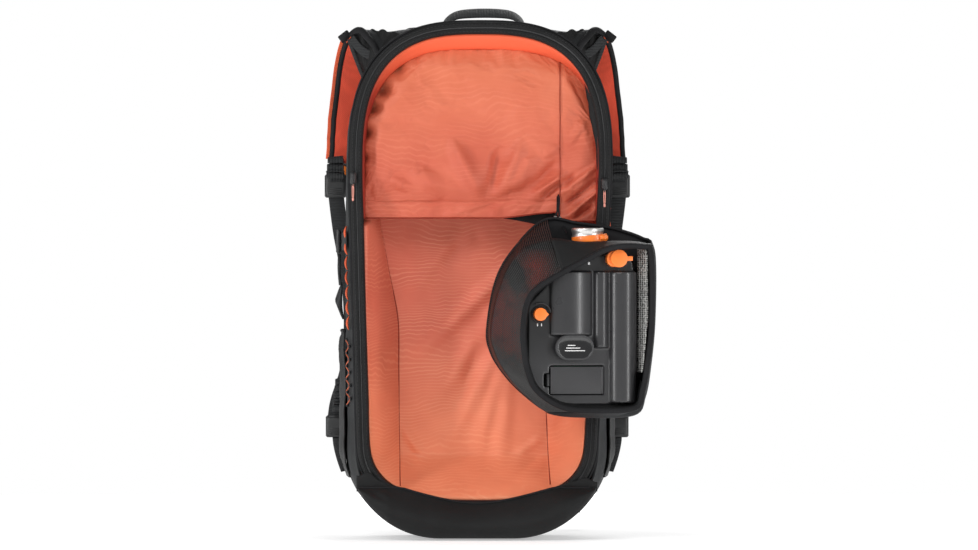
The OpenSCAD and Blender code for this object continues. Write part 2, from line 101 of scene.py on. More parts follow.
def studio():
    """Camera at the photo's angle, soft lights, white world and a pale floor."""
    scene = bpy.context.scene
    scene.view_settings.view_transform = "Standard"
    view = bpy.data.cameras.new("camera")
    view.lens, view.sensor_width, view.clip_end = CAMERA_LENS, 36, 60
    camera = bpy.data.objects.new("camera", view)
    scene.collection.objects.link(camera)
    camera.location = (PHOTO_CENTRE[0], -CAMERA_DISTANCE, PHOTO_CENTRE[1])
    camera.rotation_euler = (math.pi / 2, 0, 0)
    scene.camera = camera
    world = bpy.data.worlds.new("studio")
    world.use_nodes = True
    tree = world.node_tree
    seen, dim = tree.nodes["Background"], tree.nodes.new("ShaderNodeBackground")
    seen.inputs["Color"].default_value = (1, 1, 1, 1)
    dim.inputs["Color"].default_value = (1, 1, 1, 1)
    dim.inputs["Strength"].default_value = 0.42
    mix, path = tree.nodes.new("ShaderNodeMixShader"), tree.nodes.new("ShaderNodeLightPath")
    tree.links.new(path.outputs["Is Camera Ray"], mix.inputs[0])
    tree.links.new(dim.outputs[0], mix.inputs[1])
    tree.links.new(seen.outputs[0], mix.inputs[2])
    tree.links.new(mix.outputs[0], tree.nodes["World Output"].inputs["Surface"])
    scene.world = world
    area_light("key", (-1.2, -2.8, 2.2), (0, 0, 0.35), (1.3, 1.3), 34)
    area_light("left_strip", (-1.9, -1.3, 0.6), (0.1, -0.1, 0.3), (0.3, 1.8), 23)
    area_light("right_strip", (2.0, -1.6, 0.7), (0.1, -0.1, 0.3), (0.3, 1.8), 22)
    area_light("back", (0.4, 2.4, 1.8), (0, 0.1, 0.35), (1.6, 1.2), 30)
    bpy.ops.mesh.primitive_circle_add(vertices=96, radius=1.6, fill_type="NGON", location=(0, 0, 0))
    floor = bpy.context.object
    floor.name = "floor"
    paint = Look("floor_paint", (0.9, 0.9, 0.9), 0.9, gloss=0.1)
    paint.set("Emission Color", (1, 1, 1, 1))
    far = paint.node("ShaderNodeVectorMath", i0=paint.coords)
    far.operation = "LENGTH"
    glow = paint.node("ShaderNodeMapRange", Value=far.outputs["Value"])
    glow.inputs["From Min"].default_value = 0.25
    glow.inputs["From Max"].default_value = 0.85
    glow.inputs["To Min"].default_value = 0.4
    glow.inputs["To Max"].default_value = 1.0
    paint.link(glow.outputs[0], paint.shader.inputs["Emission Strength"])
    floor.data.materials.append(paint.material)


# ------------------------------------------------------------------ materials


class Look:
    """A node material, built step by step round one Principled shader."""

    def __init__(self, name, colour, rough, metal=0.0, sheen=0.0, coat=0.0, gloss=0.5):
        self.material = bpy.data.materials.new(name)
        self.material.use_nodes = True
        self.tree = self.material.node_tree
        self.shader = self.tree.nodes["Principled BSDF"]
        self.coords = self.tree.nodes.new("ShaderNodeTexCoord").outputs["Object"]
        self.set("Base Color", (*colour, 1))
        self.set("Roughness", rough)
        self.set("Metallic", metal)
        self.set("Sheen Weight", sheen)
        self.set("Coat Weight", coat)
        self.set("Specular IOR Level", gloss)
        self.height = None

    def set(self, socket, value):
        self.shader.inputs[socket].default_value = value

    def link(self, a, b):
        self.tree.links.new(a, b)

    def node(self, kind, **links):
        """A new node with sockets linked or set, by name or as i0, i1 and so on."""
        made = self.tree.nodes.new(kind)
        for key, value in links.items():
            socket = made.inputs[int(key[1:])] if key[0] == "i" and key[1:].isdigit() else made.inputs[key]
            if hasattr(value, "is_linked"):
                self.link(value, socket)
            else:
                socket.default_value = value
        return made

    def math(self, operation, a, b=0.0, c=0.0):
        made = self.node("ShaderNodeMath", i0=a, i1=b, i2=c)
        made.operation = operation
        return made.outputs[0]

    def noise(self, scale, detail=3.0, stretch=(1, 1, 1)):
        place = self.node("ShaderNodeMapping", Vector=self.coords, Scale=stretch)
        made = self.node("ShaderNodeTexNoise", Vector=place.outputs[0], Scale=scale, Detail=detail)
        return made.outputs["Fac"]

    def stripes(self, axis, period):
        """Soft stripes along an axis, with a period in metres."""
        parts = self.node("ShaderNodeSeparateXYZ", Vector=self.coords)
        value = parts.outputs["XYZ".index(axis)]
        return self.math("SINE", self.math("MULTIPLY", value, 2 * math.pi / period))

    def mix(self, factor, a, b):
        """Colour a, or b where factor is 1."""
        made = self.tree.nodes.new("ShaderNodeMix")
        made.data_type = "RGBA"
        for socket, value in ((made.inputs[0], factor), (made.inputs[6], a), (made.inputs[7], b)):
            if hasattr(value, "is_linked"):
                self.link(value, socket)
            else:
                socket.default_value = value if socket.name == "Factor" else (*value, 1)
        return made.outputs[2]

    def ramp(self, value, low, high):
        """0 below low, 1 above high, and straight between them."""
        made = self.node("ShaderNodeMapRange", Value=value)
        made.inputs["From Min"].default_value = low
        made.inputs["From Max"].default_value = high
        return made.outputs[0]

    def bump(self, height, distance, strength=1.0):
        """Add a bump on top of those already there."""
        made = self.node("ShaderNodeBump", Height=height, Distance=distance, Strength=strength)
        if self.height is not None:
            self.link(self.height, made.inputs["Normal"])
        self.height = made.outputs[0]
        self.link(self.height, self.shader.inputs["Normal"])

    def paint(self, socket):
        self.link(socket, self.shader.inputs["Base Color"])

    def vary_roughness(self, low, high, scale):
        uneven = self.math("MULTIPLY_ADD", self.noise(scale), high - low, low)
        self.link(uneven, self.shader.inputs["Roughness"])


def woven(name, colour, rough, period=0.0011, sheen=0.25, patch=0.35, depth=0.00012):
    """Plain weave: crossed threads, cloudy colour and a little sheen."""
    look = Look(name, colour, rough, sheen=sheen * 0.5, gloss=0.2)
    look.set("Sheen Roughness", 0.5)
    look.set("Sheen Tint", (*[min(1, c * 3 + 0.05) for c in colour], 1))
    threads = look.math("MULTIPLY", look.stripes("X", period), look.stripes("Z", period))
    threads = look.math("ADD", threads, look.math("MULTIPLY", look.stripes("Y", period), 0.6))
    light = tuple(min(1, c * (1 + patch)) for c in colour)
    dark = tuple(c * (1 - patch) for c in colour)
    cloud = look.noise(22, 4)
    look.paint(look.mix(look.ramp(look.math("ADD", cloud, look.math("MULTIPLY", threads, 0.08)), 0.3, 0.7),
                        dark, light))
    look.bump(threads, depth, 0.5)
    look.bump(look.noise(60, 5), 0.0006, 0.35)
    look.vary_roughness(rough - 0.08, rough + 0.1, 35)
    return look.material


def webbing_look(name, colour, axis):
    """Ribbed webbing: fine ribs across the strap."""
    look = Look(name, colour, 0.6, gloss=0.3)
    ribs = look.stripes(axis, 0.0018)
    dark, light = tuple(c * 0.6 for c in colour), tuple(c * 1.7 for c in colour)
    look.paint(look.mix(look.ramp(ribs, -1, 1), dark, light))
    look.bump(ribs, 0.0004, 0.8)
    look.bump(look.noise(900, 2), 0.0001, 0.5)
    return look.material


def lining_look(name, colour, line, period, strength, waviness, other, low, high):
    """Coated lining cloth, printed with thin wavy contour lines; its tone shifts with height, which is
    painted light and shade.
    """
    look = Look(name, colour, 0.5, gloss=0.3)
    parts = look.node("ShaderNodeSeparateXYZ", Vector=look.coords)
    broad, fine = look.noise(7, 2, (1, 1, 1.6)), look.noise(60, 2, (1, 1, 0.4))
    drift = look.math("MULTIPLY", look.math("SUBTRACT", broad, 0.5), waviness)
    ripple = look.math("MULTIPLY", look.math("SUBTRACT", fine, 0.5), waviness * 0.12)
    level = look.math("ADD", parts.outputs[2], look.math("ADD", drift, ripple))
    phase = look.math("FRACT", look.math("MULTIPLY", level, 1 / period))
    thin = look.math("SUBTRACT", 1.0, look.ramp(look.math("ABSOLUTE", look.math("SUBTRACT", phase, 0.5)),
                                                 0.08, 0.22))
    fade = look.ramp(look.noise(14, 2, (1, 1, 2.2)), 0.36, 0.6)
    # Painted light and shade: the colour shifts with height from the first tone towards the second.
    height = look.math("ADD", parts.outputs[2], look.math("MULTIPLY", look.noise(9, 3), 0.05))
    tone = look.mix(look.ramp(height, low, high), colour, other)
    cloud = look.ramp(look.noise(16, 3), 0.3, 0.7)
    cloth = look.mix(cloud, look.mix(0.12, tone, (0.1, 0, 0)), look.mix(0.08, tone, (1, 0.5, 0.3)))
    look.paint(look.mix(look.math("MULTIPLY", look.math("MULTIPLY", thin, fade), strength), cloth, line))
    threads = look.math("MULTIPLY", look.stripes("X", 0.0009), look.stripes("Z", 0.0009))
    look.bump(threads, 0.00008, 0.4)
    look.bump(look.noise(45, 5), 0.0009, 0.35)
    look.vary_roughness(0.42, 0.58, 20)
    return look.material


def moulded(name, colour, rough, depth=0.00006, coat=0.0):
    """Moulded plastic with a fine spark texture and slightly worn, uneven gloss."""
    look = Look(name, colour, rough, coat=coat)
    look.bump(look.noise(2600, 2), depth, 0.6)
    look.vary_roughness(rough - 0.06, rough + 0.08, 50)
    look.paint(look.mix(look.noise(40, 4), tuple(c * 0.85 for c in colour),
                        tuple(min(1, c * 1.18) for c in colour)))
    return look.material


def metal(name, colour, rough):
    """Brushed metal with uneven gloss."""
    look = Look(name, colour, rough, metal=1.0)
    look.bump(look.noise(500, 3, (1, 1, 14)), 0.00002, 0.3)
    look.vary_roughness(rough - 0.06, rough + 0.12, 60)
    return look.material


def spacer_look(name):
    """Silver-grey spacer mesh: small dark cells between light threads."""
    look = Look(name, (0.3, 0.3, 0.3), 0.55)
    cells = look.node("ShaderNodeTexVoronoi", Vector=look.coords, Scale=420, Randomness=0.35)
    hole = look.ramp(cells.outputs["Distance"], 0.36, 0.6)
    look.paint(look.mix(hole, (0.01, 0.01, 0.011), (0.5, 0.5, 0.48)))
    look.bump(hole, 0.0006, 0.8)
    return look.material


def housing(name):
    """Housing of the inflation unit: satin grey-black, with painted shade that makes it darker beside the
    tubes and black at its upper end.
    """
    look = Look(name, (0.028, 0.028, 0.03), 0.3, coat=0.1)
    parts = look.node("ShaderNodeSeparateXYZ", Vector=look.coords)
    # Painted shade: the upper end of the housing is painted near black.
    upper = look.ramp(parts.outputs[2], 0.302, 0.306)
    cloudy = look.mix(look.noise(40, 4), (0.023, 0.023, 0.0245), (0.033, 0.033, 0.035))
    # Painted shade: a darker zone beside the tubes, above the door.
    beside = look.math("SUBTRACT", 1.0, look.ramp(parts.outputs[0], 0.083, 0.087))
    middle = look.math("MULTIPLY", look.ramp(parts.outputs[2], 0.196, 0.236), beside)
    shaded = look.mix(middle, cloudy, (0.009, 0.009, 0.0095))
    look.paint(look.mix(upper, shaded, (0.006, 0.006, 0.0065)))
    look.bump(look.noise(2600, 2), 0.00005, 0.6)
    look.vary_roughness(0.24, 0.36, 50)
    return look.material


def shaded_band(name):
    """The band inside the rim: bright at the top of the dome, with painted shade that makes it dull red down
    its sides.
    """
    look = Look(name, (0.8, 0.13, 0.05), 0.5, gloss=0.25)
    parts = look.node("ShaderNodeSeparateXYZ", Vector=look.coords)
    height = look.math("ADD", parts.outputs[2], look.math("MULTIPLY", look.noise(30, 2), 0.012))
    # Painted shade: the band turns dull red below the top of the dome.
    look.paint(look.mix(look.ramp(height, 0.505, 0.562), (0.3, 0.03, 0.018), (0.82, 0.128, 0.055)))
    look.bump(look.noise(120, 4), 0.0005, 0.4)
    return look.material


def two_tone(name):
    """Lining of the pouch: black, with red cloth showing in patches behind the net."""
    look = Look(name, (0.02, 0.02, 0.02), 0.7, gloss=0.2)
    parts = look.node("ShaderNodeSeparateXYZ", Vector=look.coords)
    low = look.math("SUBTRACT", 1.0, look.ramp(parts.outputs[2], 0.31, 0.33))
    near = look.math("SUBTRACT", 1.0, look.ramp(parts.outputs[0], 0.07, 0.09))
    patches = look.ramp(look.noise(26, 3), 0.36, 0.56)
    amount = look.math("MULTIPLY", look.math("MULTIPLY", low, near), patches)
    look.paint(look.mix(amount, (0.01, 0.01, 0.011), (0.42, 0.045, 0.026)))
    look.bump(look.noise(300, 3), 0.0003, 0.5)
    return look.material


BLACK = (0.015, 0.016, 0.017)
LINING = (0.54, 0.1, 0.055)
shell_cloth = woven("shell_cloth", BLACK, 0.62)
smooth_cloth = woven("smooth_cloth", (0.0082, 0.0084, 0.0086), 0.55, period=0.0008, patch=0.2)
edge_tape = woven("edge_tape", (0.008, 0.008, 0.009), 0.62, period=0.0014, sheen=0.1)
back_cloth = woven("back_cloth", (0.03, 0.031, 0.033), 0.75, period=0.0024, depth=0.0003)
strap_face = woven("strap_face", (0.56, 0.062, 0.03), 0.7, period=0.0022, sheen=0.2, patch=0.18, depth=0.0003)
web_x, web_y, web_z = [webbing_look("web_" + axis.lower(), (0.02, 0.021, 0.022), axis) for axis in "XYZ"]
# The last three arguments give a second tone and the heights over which the colour shifts to it: painted
# light and shade.
lining_upper = lining_look("lining_upper", LINING, (0.74, 0.25, 0.15), 0.0056, 0.17, 0.08,
                           (0.62, 0.145, 0.07), 0.45, 0.56)
lining_lower_look = lining_look("lining_lower", (0.86, 0.255, 0.13), (0.95, 0.44, 0.26), 0.0043, 0.27, 0.06,
                                (0.7, 0.155, 0.095), 0.13, 0.27)
lining_plain = woven("lining_plain", (0.72, 0.118, 0.05), 0.5, period=0.0009, sheen=0.1, patch=0.05)
band_look = shaded_band("band_cloth")
pouch_inside = two_tone("pouch_inside")
airbag_cloth = woven("airbag_cloth", (0.8, 0.16, 0.04), 0.55, patch=0.1)
seam_thread = woven("seam_thread", (0.26, 0.032, 0.016), 0.6, period=0.0006, patch=0.1)
black_thread = woven("black_thread", (0.03, 0.03, 0.032), 0.6, period=0.0006, patch=0.1)
zip_plastic = moulded("zip_plastic", (0.012, 0.012, 0.013), 0.4)
buckle_plastic = moulded("buckle_plastic", (0.022, 0.0225, 0.023), 0.42)
housing_look = housing("housing_plastic")
recess_look = moulded("recess_plastic", (0.031, 0.031, 0.033), 0.45)
dark_plastic = moulded("dark_plastic", (0.01, 0.01, 0.011), 0.45)
orange_plastic = moulded("orange_plastic", (0.98, 0.2, 0.02), 0.36, coat=0.2)
pull_cord = woven("pull_cord", (0.72, 0.3, 0.24), 0.6, period=0.001)
trim_orange = woven("trim_orange", (0.62, 0.1, 0.04), 0.6, period=0.0012, patch=0.2)
dull_cord = woven("dull_cord", (0.42, 0.1, 0.05), 0.65, period=0.001)
badge_face = moulded("badge_face", (0.006, 0.006, 0.007), 0.16, depth=0.00001, coat=0.6)
white_mark = moulded("white_mark", (0.75, 0.75, 0.75), 0.5)
silver_metal = metal("silver_metal", (0.66, 0.65, 0.63), 0.34)
grey_metal = metal("grey_metal", (0.45, 0.45, 0.46), 0.4)
spacer_mesh = spacer_look("spacer_mesh")
board_green = moulded("board_green", (0.02, 0.16, 0.07), 0.4)
mesh_thread = moulded("mesh_thread", (0.019, 0.018, 0.0175), 0.45)

# ------------------------------------------------------------------ outlines and noise


def mirrored(right):
    """The closed outline whose right half starts on the centre line at the top."""
    return np.array(right + [(-x, z) for x, z in right[:0:-1]])


def pack_outline(low_w, high_w, top, foot, r, g=0.0, n=(44, 30, 26)):
    """The pack's front outline grown by g: dome, sides and lower corners of n points."""
    dome, side, corner = n
    right = []
    for i in range(dome + 1):
        a = math.pi / 2 * (1 - i / dome)
        right.append(((high_w + g) * abs(math.cos(a)) ** (2 / DOME_POWER),
                      DOME_Z + (top - DOME_Z + g) * math.sin(a) ** (2 / DOME_POWER)))
    for i in range(1, side + 1):
        t = i / side
        right.append((high_w * (1 - t) + low_w * t + g, DOME_Z * (1 - t) + (foot + r) * t))
    for i in range(1, corner + 1):
        a = -math.pi / 2 * i / corner
        right.append((low_w - r + (r + g) * math.cos(a), foot + r + (r + g) * math.sin(a)))
    return mirrored(right)


def opening_outline(g=0.0, n=140):
    """The front opening grown by g, from its right side over the dome and round."""
    points = []
    for i in range(n):
        a = 2 * math.pi * i / n
        c, s = math.cos(a), math.sin(a)
        if s >= 0:
            points.append((DOME_SHIFT + (OPEN_HIGH + g) * math.copysign(abs(c) ** (2 / OPENING_POWER), c),
                           OPENING_DOME_Z + (OPEN_TOP - OPENING_DOME_Z + g) * s ** (2 / OPENING_POWER)))
        else:
            drop = OPENING_CORNER_Z - OPEN_FOOT + g
            points.append(((OPEN_LOW + g) * math.copysign(abs(c) ** (2 / OPENING_POWER), c),
                           OPENING_CORNER_Z - drop * abs(s) ** (2 / OPENING_POWER)))
    return np.array(points)


def resample(points, n, closed=False):
    """n points spaced evenly along a polyline."""
    p = np.array(points, float)
    if closed:
        p = np.vstack([p, p[:1]])
    along = np.concatenate([[0], np.cumsum(np.linalg.norm(np.diff(p, axis=0), axis=1))])
    wanted = np.linspace(0, along[-1], n, endpoint=not closed)
    return np.stack([np.interp(wanted, along, p[:, k]) for k in range(p.shape[1])], axis=1)


def smooth_path(points, n, closed=False):
    """Catmull-Rom curve through the points, resampled evenly to n points."""
    p = np.array(points, float)
    k = len(p)
    get = (lambda i: p[i % k]) if closed else (lambda i: p[min(max(i, 0), k - 1)])
    out = []
    for i in range(k if closed else k - 1):
        a, b, c, d = get(i - 1), get(i), get(i + 1), get(i + 2)
        for t in np.linspace(0, 1, 12, endpoint=False):
            out.append(0.5 * (2 * b + (c - a) * t + (2 * a - 5 * b + 4 * c - d) * t * t
                              + (3 * b - a - 3 * c + d) * t ** 3))
    if not closed:
        out.append(p[-1])
    return resample(out, n, closed)


def value_noise(x, y, scale, seed):
    """Smooth noise from -1 to 1; scale is the size of a blob in the units of x and y."""
    table = np.random.RandomState(seed).uniform(-1, 1, (64, 64))
    u, v = np.asarray(x, float) / scale + 300, np.asarray(y, float) / scale + 300
    i, j = np.floor(u).astype(int), np.floor(v).astype(int)
    f, g = u - i, v - j
    f, g = f * f * (3 - 2 * f), g * g * (3 - 2 * g)

    def at(a, b):
        return table[a % 64, b % 64]

    low = at(i, j) * (1 - f) + at(i + 1, j) * f
    high = at(i, j + 1) * (1 - f) + at(i + 1, j + 1) * f
    return low * (1 - g) + high * g


def clouds(x, y, scale, seed, octaves=3):
    """Value noise summed over octaves."""
    total = 0
    for k in range(octaves):
        total = total + value_noise(x, y, scale / 2 ** k, seed + k) / 2 ** k
    return total


def crease(x, z, start, end, width):
    """1 on the line from start to end, falling off across it and towards its ends."""
    (x0, z0), (x1, z1) = start, end
    dx, dz = x1 - x0, z1 - z0
    length = math.hypot(dx, dz)
    t = ((x - x0) * dx + (z - z0) * dz) / length ** 2
    across = ((x - x0) * dz - (z - z0) * dx) / length
    ends = np.clip(t / 0.25, 0, 1) * np.clip((1 - t) / 0.35, 0, 1)
    return np.exp(-(across / width) ** 2) * ends


def step(a, b, x):
    """Smooth step from 0 at a to 1 at b."""
    t = np.clip((x - a) / (b - a), 0, 1)
    return t * t * (3 - 2 * t)


# ------------------------------------------------------------------ mesh helpers


class Shape:
    """Vertices and faces gathered into one piece. Points come in millimetres."""

    def __init__(self):
        self.points, self.faces, self.slots = [], [], []

    def add(self, points, faces, slot=0):
        start = len(self.points)
        self.points.extend([tuple(p) for p in points])
        self.faces.extend([tuple(i + start for i in f) for f in faces])
        self.slots.extend([slot] * len(faces))

    def grid(self, g, closed_u=False, closed_v=False, slot=0, flip=False):
        """A surface from a grid of points, g[u][v]."""
        nu, nv = g.shape[:2]
        faces = []
        for i in range(nu if closed_u else nu - 1):
            for j in range(nv if closed_v else nv - 1):
                a, b = i * nv + j, ((i + 1) % nu) * nv + j
                c, d = ((i + 1) % nu) * nv + (j + 1) % nv, i * nv + (j + 1) % nv
                faces.append((a, d, c, b) if flip else (a, b, c, d))
        self.add(g.reshape(-1, 3), faces, slot)

    def sheet(self, g, thickness, closed_u=False, closed_v=False, slot=0, back_slot=None):
        """A closed solid from a grid of points and its copy, offset along its normals."""
        du = np.roll(g, -1, 0) - np.roll(g, 1, 0) if closed_u else np.gradient(g, axis=0)
        dv = np.roll(g, -1, 1) - np.roll(g, 1, 1) if closed_v else np.gradient(g, axis=1)
        n = np.cross(du, dv)
        n /= np.maximum(np.linalg.norm(n, axis=2, keepdims=True), 1e-9)
        back = g - n * thickness
        nu, nv = g.shape[:2]
        self.grid(np.concatenate([g, back], 0)[:nu], closed_u, closed_v, slot)
        first = len(self.points) - nu * nv
        self.grid(back, closed_u, closed_v, slot if back_slot is None else back_slot, flip=True)
        second = len(self.points) - nu * nv
        rim = []
        if not closed_v:
            for i in range(nu if closed_u else nu - 1):
                k = (i + 1) % nu
                for j, turn in ((0, False), (nv - 1, True)):
                    q = (first + i * nv + j, second + i * nv + j, second + k * nv + j, first + k * nv + j)
                    rim.append(q[::-1] if turn else q)
        if not closed_u:
            for j in range(nv if closed_v else nv - 1):
                k = (j + 1) % nv
                for i, turn in ((0, True), (nu - 1, False)):
                    q = (first + i * nv + j, second + i * nv + j, second + i * nv + k, first + i * nv + k)
                    rim.append(q[::-1] if turn else q)
        self.faces.extend(rim)
        self.slots.extend([slot] * len(rim))

    def sweep(self, path, profile, side, closed=False, slot=0, scale=None):
        """Sweep a closed profile (across, out) along a path; side gives the across direction."""
        p = np.array(path, float)
        n = len(p)
        t = unit(np.roll(p, -1, 0) - np.roll(p, 1, 0) if closed else np.gradient(p, axis=0))
        s = np.array(side, float)
        s = np.tile(s, (n, 1)) if s.ndim == 1 else s
        s = unit(s - t * (s * t).sum(1, keepdims=True))
        up = np.cross(s, t)
        q = np.array(profile, float)
        k = np.ones((n, 2)) if scale is None else np.array(scale, float)
        g = (p[:, None] + s[:, None] * (q[None, :, :1] * k[:, None, :1])
             + up[:, None] * (q[None, :, 1:] * k[:, None, 1:]))
        self.grid(g, closed_u=closed, closed_v=True, slot=slot)
        if not closed:
            self.cap_ends(n, len(q), slot)

    def cap_ends(self, nu, nv, slot=0):
        """Close the two open ends of the last grid, which has nu rings of nv points."""
        start = len(self.points) - nu * nv
        self.faces.append(tuple(start + i for i in range(nv)))
        self.faces.append(tuple(start + (nu - 1) * nv + i for i in reversed(range(nv))))
        self.slots.extend([slot, slot])

    def tube(self, path, r, sides=8, closed=False, slot=0, side=(0.31, 0.87, 0.13)):
        ring = [(r * math.cos(a), r * math.sin(a)) for a in np.arange(sides) * 2 * math.pi / sides]
        self.sweep(path, ring, side, closed, slot)

    def block(self, centre, size, r=1.0, turn=None, slot=0):
        """A box with bevelled edges."""
        c, h = np.array(centre, float), np.array(size, float) / 2
        r = min(r, *(h * 0.9))
        points = []
        for sx in (-1, 1):
            for sy in (-1, 1):
                for sz in (-1, 1):
                    corner = np.array([sx, sy, sz]) * h
                    for k in range(3):
                        p = corner - np.array([sx, sy, sz]) * r
                        p[k] = corner[k]
                        points.append(p)
        v = np.array(points)
        if turn is not None:
            v = v @ np.array(turn).T
        index = lambda sx, sy, sz, k: ((sx * 2 + sy) * 2 + sz) * 3 + k
        faces = []
        for k in range(3):
            i, j = (k + 1) % 3, (k + 2) % 3
            for s in (0, 1):
                quad = []
                for a, b in ((0, 0), (1, 0), (1, 1), (0, 1)):
                    signs = [0, 0, 0]
                    signs[k], signs[i], signs[j] = s, a, b
                    quad.append(index(*signs, k))
                faces.append(tuple(quad if s else quad[::-1]))
            for a in (0, 1):
                for b in (0, 1):
                    lo, hi = [0, 0, 0], [0, 0, 0]
                    lo[i], lo[j], hi[i], hi[j] = a, b, a, b
                    lo[k], hi[k] = 0, 1
                    quad = [index(*lo, i), index(*hi, i), index(*hi, j), index(*lo, j)]
                    faces.append(tuple(quad if (a == b) else quad[::-1]))
        for sx in (0, 1):
            for sy in (0, 1):
                for sz in (0, 1):
                    tri = [index(sx, sy, sz, k) for k in range(3)]
                    faces.append(tuple(tri if (sx + sy + sz) % 2 else tri[::-1]))
        self.add(v + c, faces, slot)

    def make(self, name, looks, body="root", replaces=(), smooth=True, subdivide=0, move=None):
        """Turn the gathered mesh into a piece that rides on a body."""
        mesh = bpy.data.meshes.new(name)
        v = np.array(self.points, float)
        if move is not None:
            v = move(v)
        mesh.from_pydata([tuple(p) for p in v * MM], [], self.faces)
        mesh.polygons.foreach_set("material_index", self.slots)
        mesh.polygons.foreach_set("use_smooth", [smooth] * len(self.faces))
        mesh.update()
        obj = bpy.data.objects.new(name, mesh)
        bpy.context.scene.collection.objects.link(obj)
        for look in looks if isinstance(looks, (list, tuple)) else [looks]:
            mesh.materials.append(look)
        fix_normals(obj)
        if subdivide:
            modifier = obj.modifiers.new("smooth", "SUBSURF")
            modifier.levels = modifier.render_levels = subdivide
        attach(obj, body)
        if replaces:
            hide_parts(*replaces)
        return obj


def fix_normals(obj):
    data = bmesh.new()
    data.from_mesh(obj.data)
    bmesh.ops.recalc_face_normals(data, faces=data.faces)
    data.to_mesh(obj.data)
    data.free()


def rounded_strip(width, thick, n=4):
    """Profile of flat webbing with round edges: (across, out)."""
    w, r = width / 2 - thick / 2, thick / 2
    right = [(w + r * math.cos(a), r * math.sin(a)) for a in np.linspace(-math.pi / 2, math.pi / 2, n + 1)]
    left = [(-w + r * math.cos(a), r * math.sin(a)) for a in np.linspace(math.pi / 2, 3 * math.pi / 2, n + 1)]
    return right + left


def flip_x(v):
    return v * np.array([-1, 1, 1])


def both_sides():
    """Side sign, name and the move that mirrors the left side's points to the right."""
    return ((-1, "left", None), (1, "right", flip_x))


def unit(v):
    """Vectors of length 1, along the last axis."""
    return v / np.linalg.norm(v, axis=-1, keepdims=True)


def remeshed(obj, voxel):
    """The object's mesh after a voxel remesh, in place."""
    remesh = obj.modifiers.new("remesh", "REMESH")
    remesh.mode = "VOXEL"
    remesh.voxel_size = voxel * MM
    mesh = bpy.data.meshes.new_from_object(obj.evaluated_get(bpy.context.evaluated_depsgraph_get()))
    obj.modifiers.clear()
    obj.data = mesh
    return mesh


def in_unit(v):
    """From the inflation unit's own frame to the pack's."""
    c, s = math.cos(YAW), math.sin(YAW)
    turned = np.stack([c * v[:, 0] - s * v[:, 1], s * v[:, 0] + c * v[:, 1], v[:, 2]], 1)
    return np.array(UNIT_AT) + turned


def stitches(shape, path, out, length=3.2, gap=1.8, r=0.35, slot=0):
    """A row of short thread stitches along a path, lifted by out."""
    total = np.linalg.norm(np.diff(path, axis=0), axis=1).sum()
    n = max(2, int(total / (length + gap)))
    line = resample(path, n * 4 + 1)
    for i in range(n):
        a, b = line[i * 4], line[i * 4 + 2]
        mid = (a + b) / 2 + np.array(out) * r
        shape.tube([a - np.array(out) * r, a + np.array(out) * r * 0.5, mid, b + np.array(out) * r * 0.5,
                    b - np.array(out) * r], r, 5, slot=slot)


def simulate(obj, frames=20, pressure=0.0, shrink=0.0, pinned=None, cap=0.012, stiffness=15.0, bending=0.5):
    """Run Blender's cloth on a mesh for a few frames, cap the movement and keep the result."""
    scene = bpy.context.scene
    before = np.array([v.co for v in obj.data.vertices])
    cloth = obj.modifiers.new("cloth", "CLOTH")
    settings = cloth.settings
    settings.quality = 6
    settings.mass = 0.25
    settings.tension_stiffness = settings.compression_stiffness = stiffness
    settings.shear_stiffness = stiffness / 3
    settings.bending_stiffness = bending
    settings.effector_weights.gravity = 0
    settings.shrink_min = shrink
    if pressure:
        settings.use_pressure = True
        settings.uniform_pressure_force = pressure
    if pinned is not None:
        group = obj.vertex_groups.new(name="pin")
        group.add([int(i) for i in pinned], 1.0, "REPLACE")
        settings.vertex_group_mass = "pin"
    cloth.point_cache.frame_start, cloth.point_cache.frame_end = 1, frames
    for f in range(1, frames + 1):
        scene.frame_set(f)
    result = obj.evaluated_get(bpy.context.evaluated_depsgraph_get())
    after = np.array([v.co for v in result.data.vertices])
    obj.modifiers.remove(cloth)
    move = after - before
    size = np.maximum(np.linalg.norm(move, axis=1, keepdims=True), 1e-9)
    obj.data.vertices.foreach_set("co", (before + move * np.minimum(1, cap / size)).ravel())
    obj.data.update()
    scene.frame_set(1)


def puffed(shape, name, looks, body, replaces, voxel=5.0, pressure=4.0, cap=0.008, sew=None):
    """A padded piece: remeshed, blown up by a short cloth simulation, then subdivided once."""
    obj = shape.make(name, looks, body, replaces)
    mesh = remeshed(obj, voxel)
    simulate(obj, pressure=pressure, cap=cap)
    if sew is not None:
        v = np.array([p.co for p in mesh.vertices]) / MM
        mesh.vertices.foreach_set("co", (sew(v) * MM).ravel())
    smooth = obj.modifiers.new("smooth", "SUBSURF")
    smooth.levels = smooth.render_levels = 1
    mesh.polygons.foreach_set("use_smooth", [True] * len(mesh.polygons))
    mesh.update()
    return obj


def declare_sheet(obj):
    """Return the piece as it is; nothing is declared."""
    return obj


def node_copy(node):
    """A copy of a CAD node's mesh, to refine as a piece of its own."""
    source = bpy.data.objects[node]
    obj = bpy.data.objects.new(node + "_look", source.data.copy())
    bpy.context.scene.collection.objects.link(obj)
    obj.data.materials.clear()
    return obj


def softened(node, look, body, bevel=0.8, segments=2):
    """A CAD piece with its edges rounded, standing for its node."""
    obj = node_copy(node)
    obj.data.materials.append(look)
    data = bmesh.new()
    data.from_mesh(obj.data)
    bmesh.ops.remove_doubles(data, verts=data.verts, dist=1e-6)
    bmesh.ops.dissolve_limit(data, angle_limit=math.radians(3), verts=data.verts, edges=data.edges)
    for face in data.faces:
        face.smooth = True
        face.material_index = 0
    data.to_mesh(obj.data)
    data.free()
    edge = obj.modifiers.new("edge", "BEVEL")
    edge.width, edge.segments, edge.limit_method = bevel * MM, segments, "ANGLE"
    edge.angle_limit = math.radians(35)
    edge.harden_normals = True
    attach(obj, body)
    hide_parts(node)
    return obj


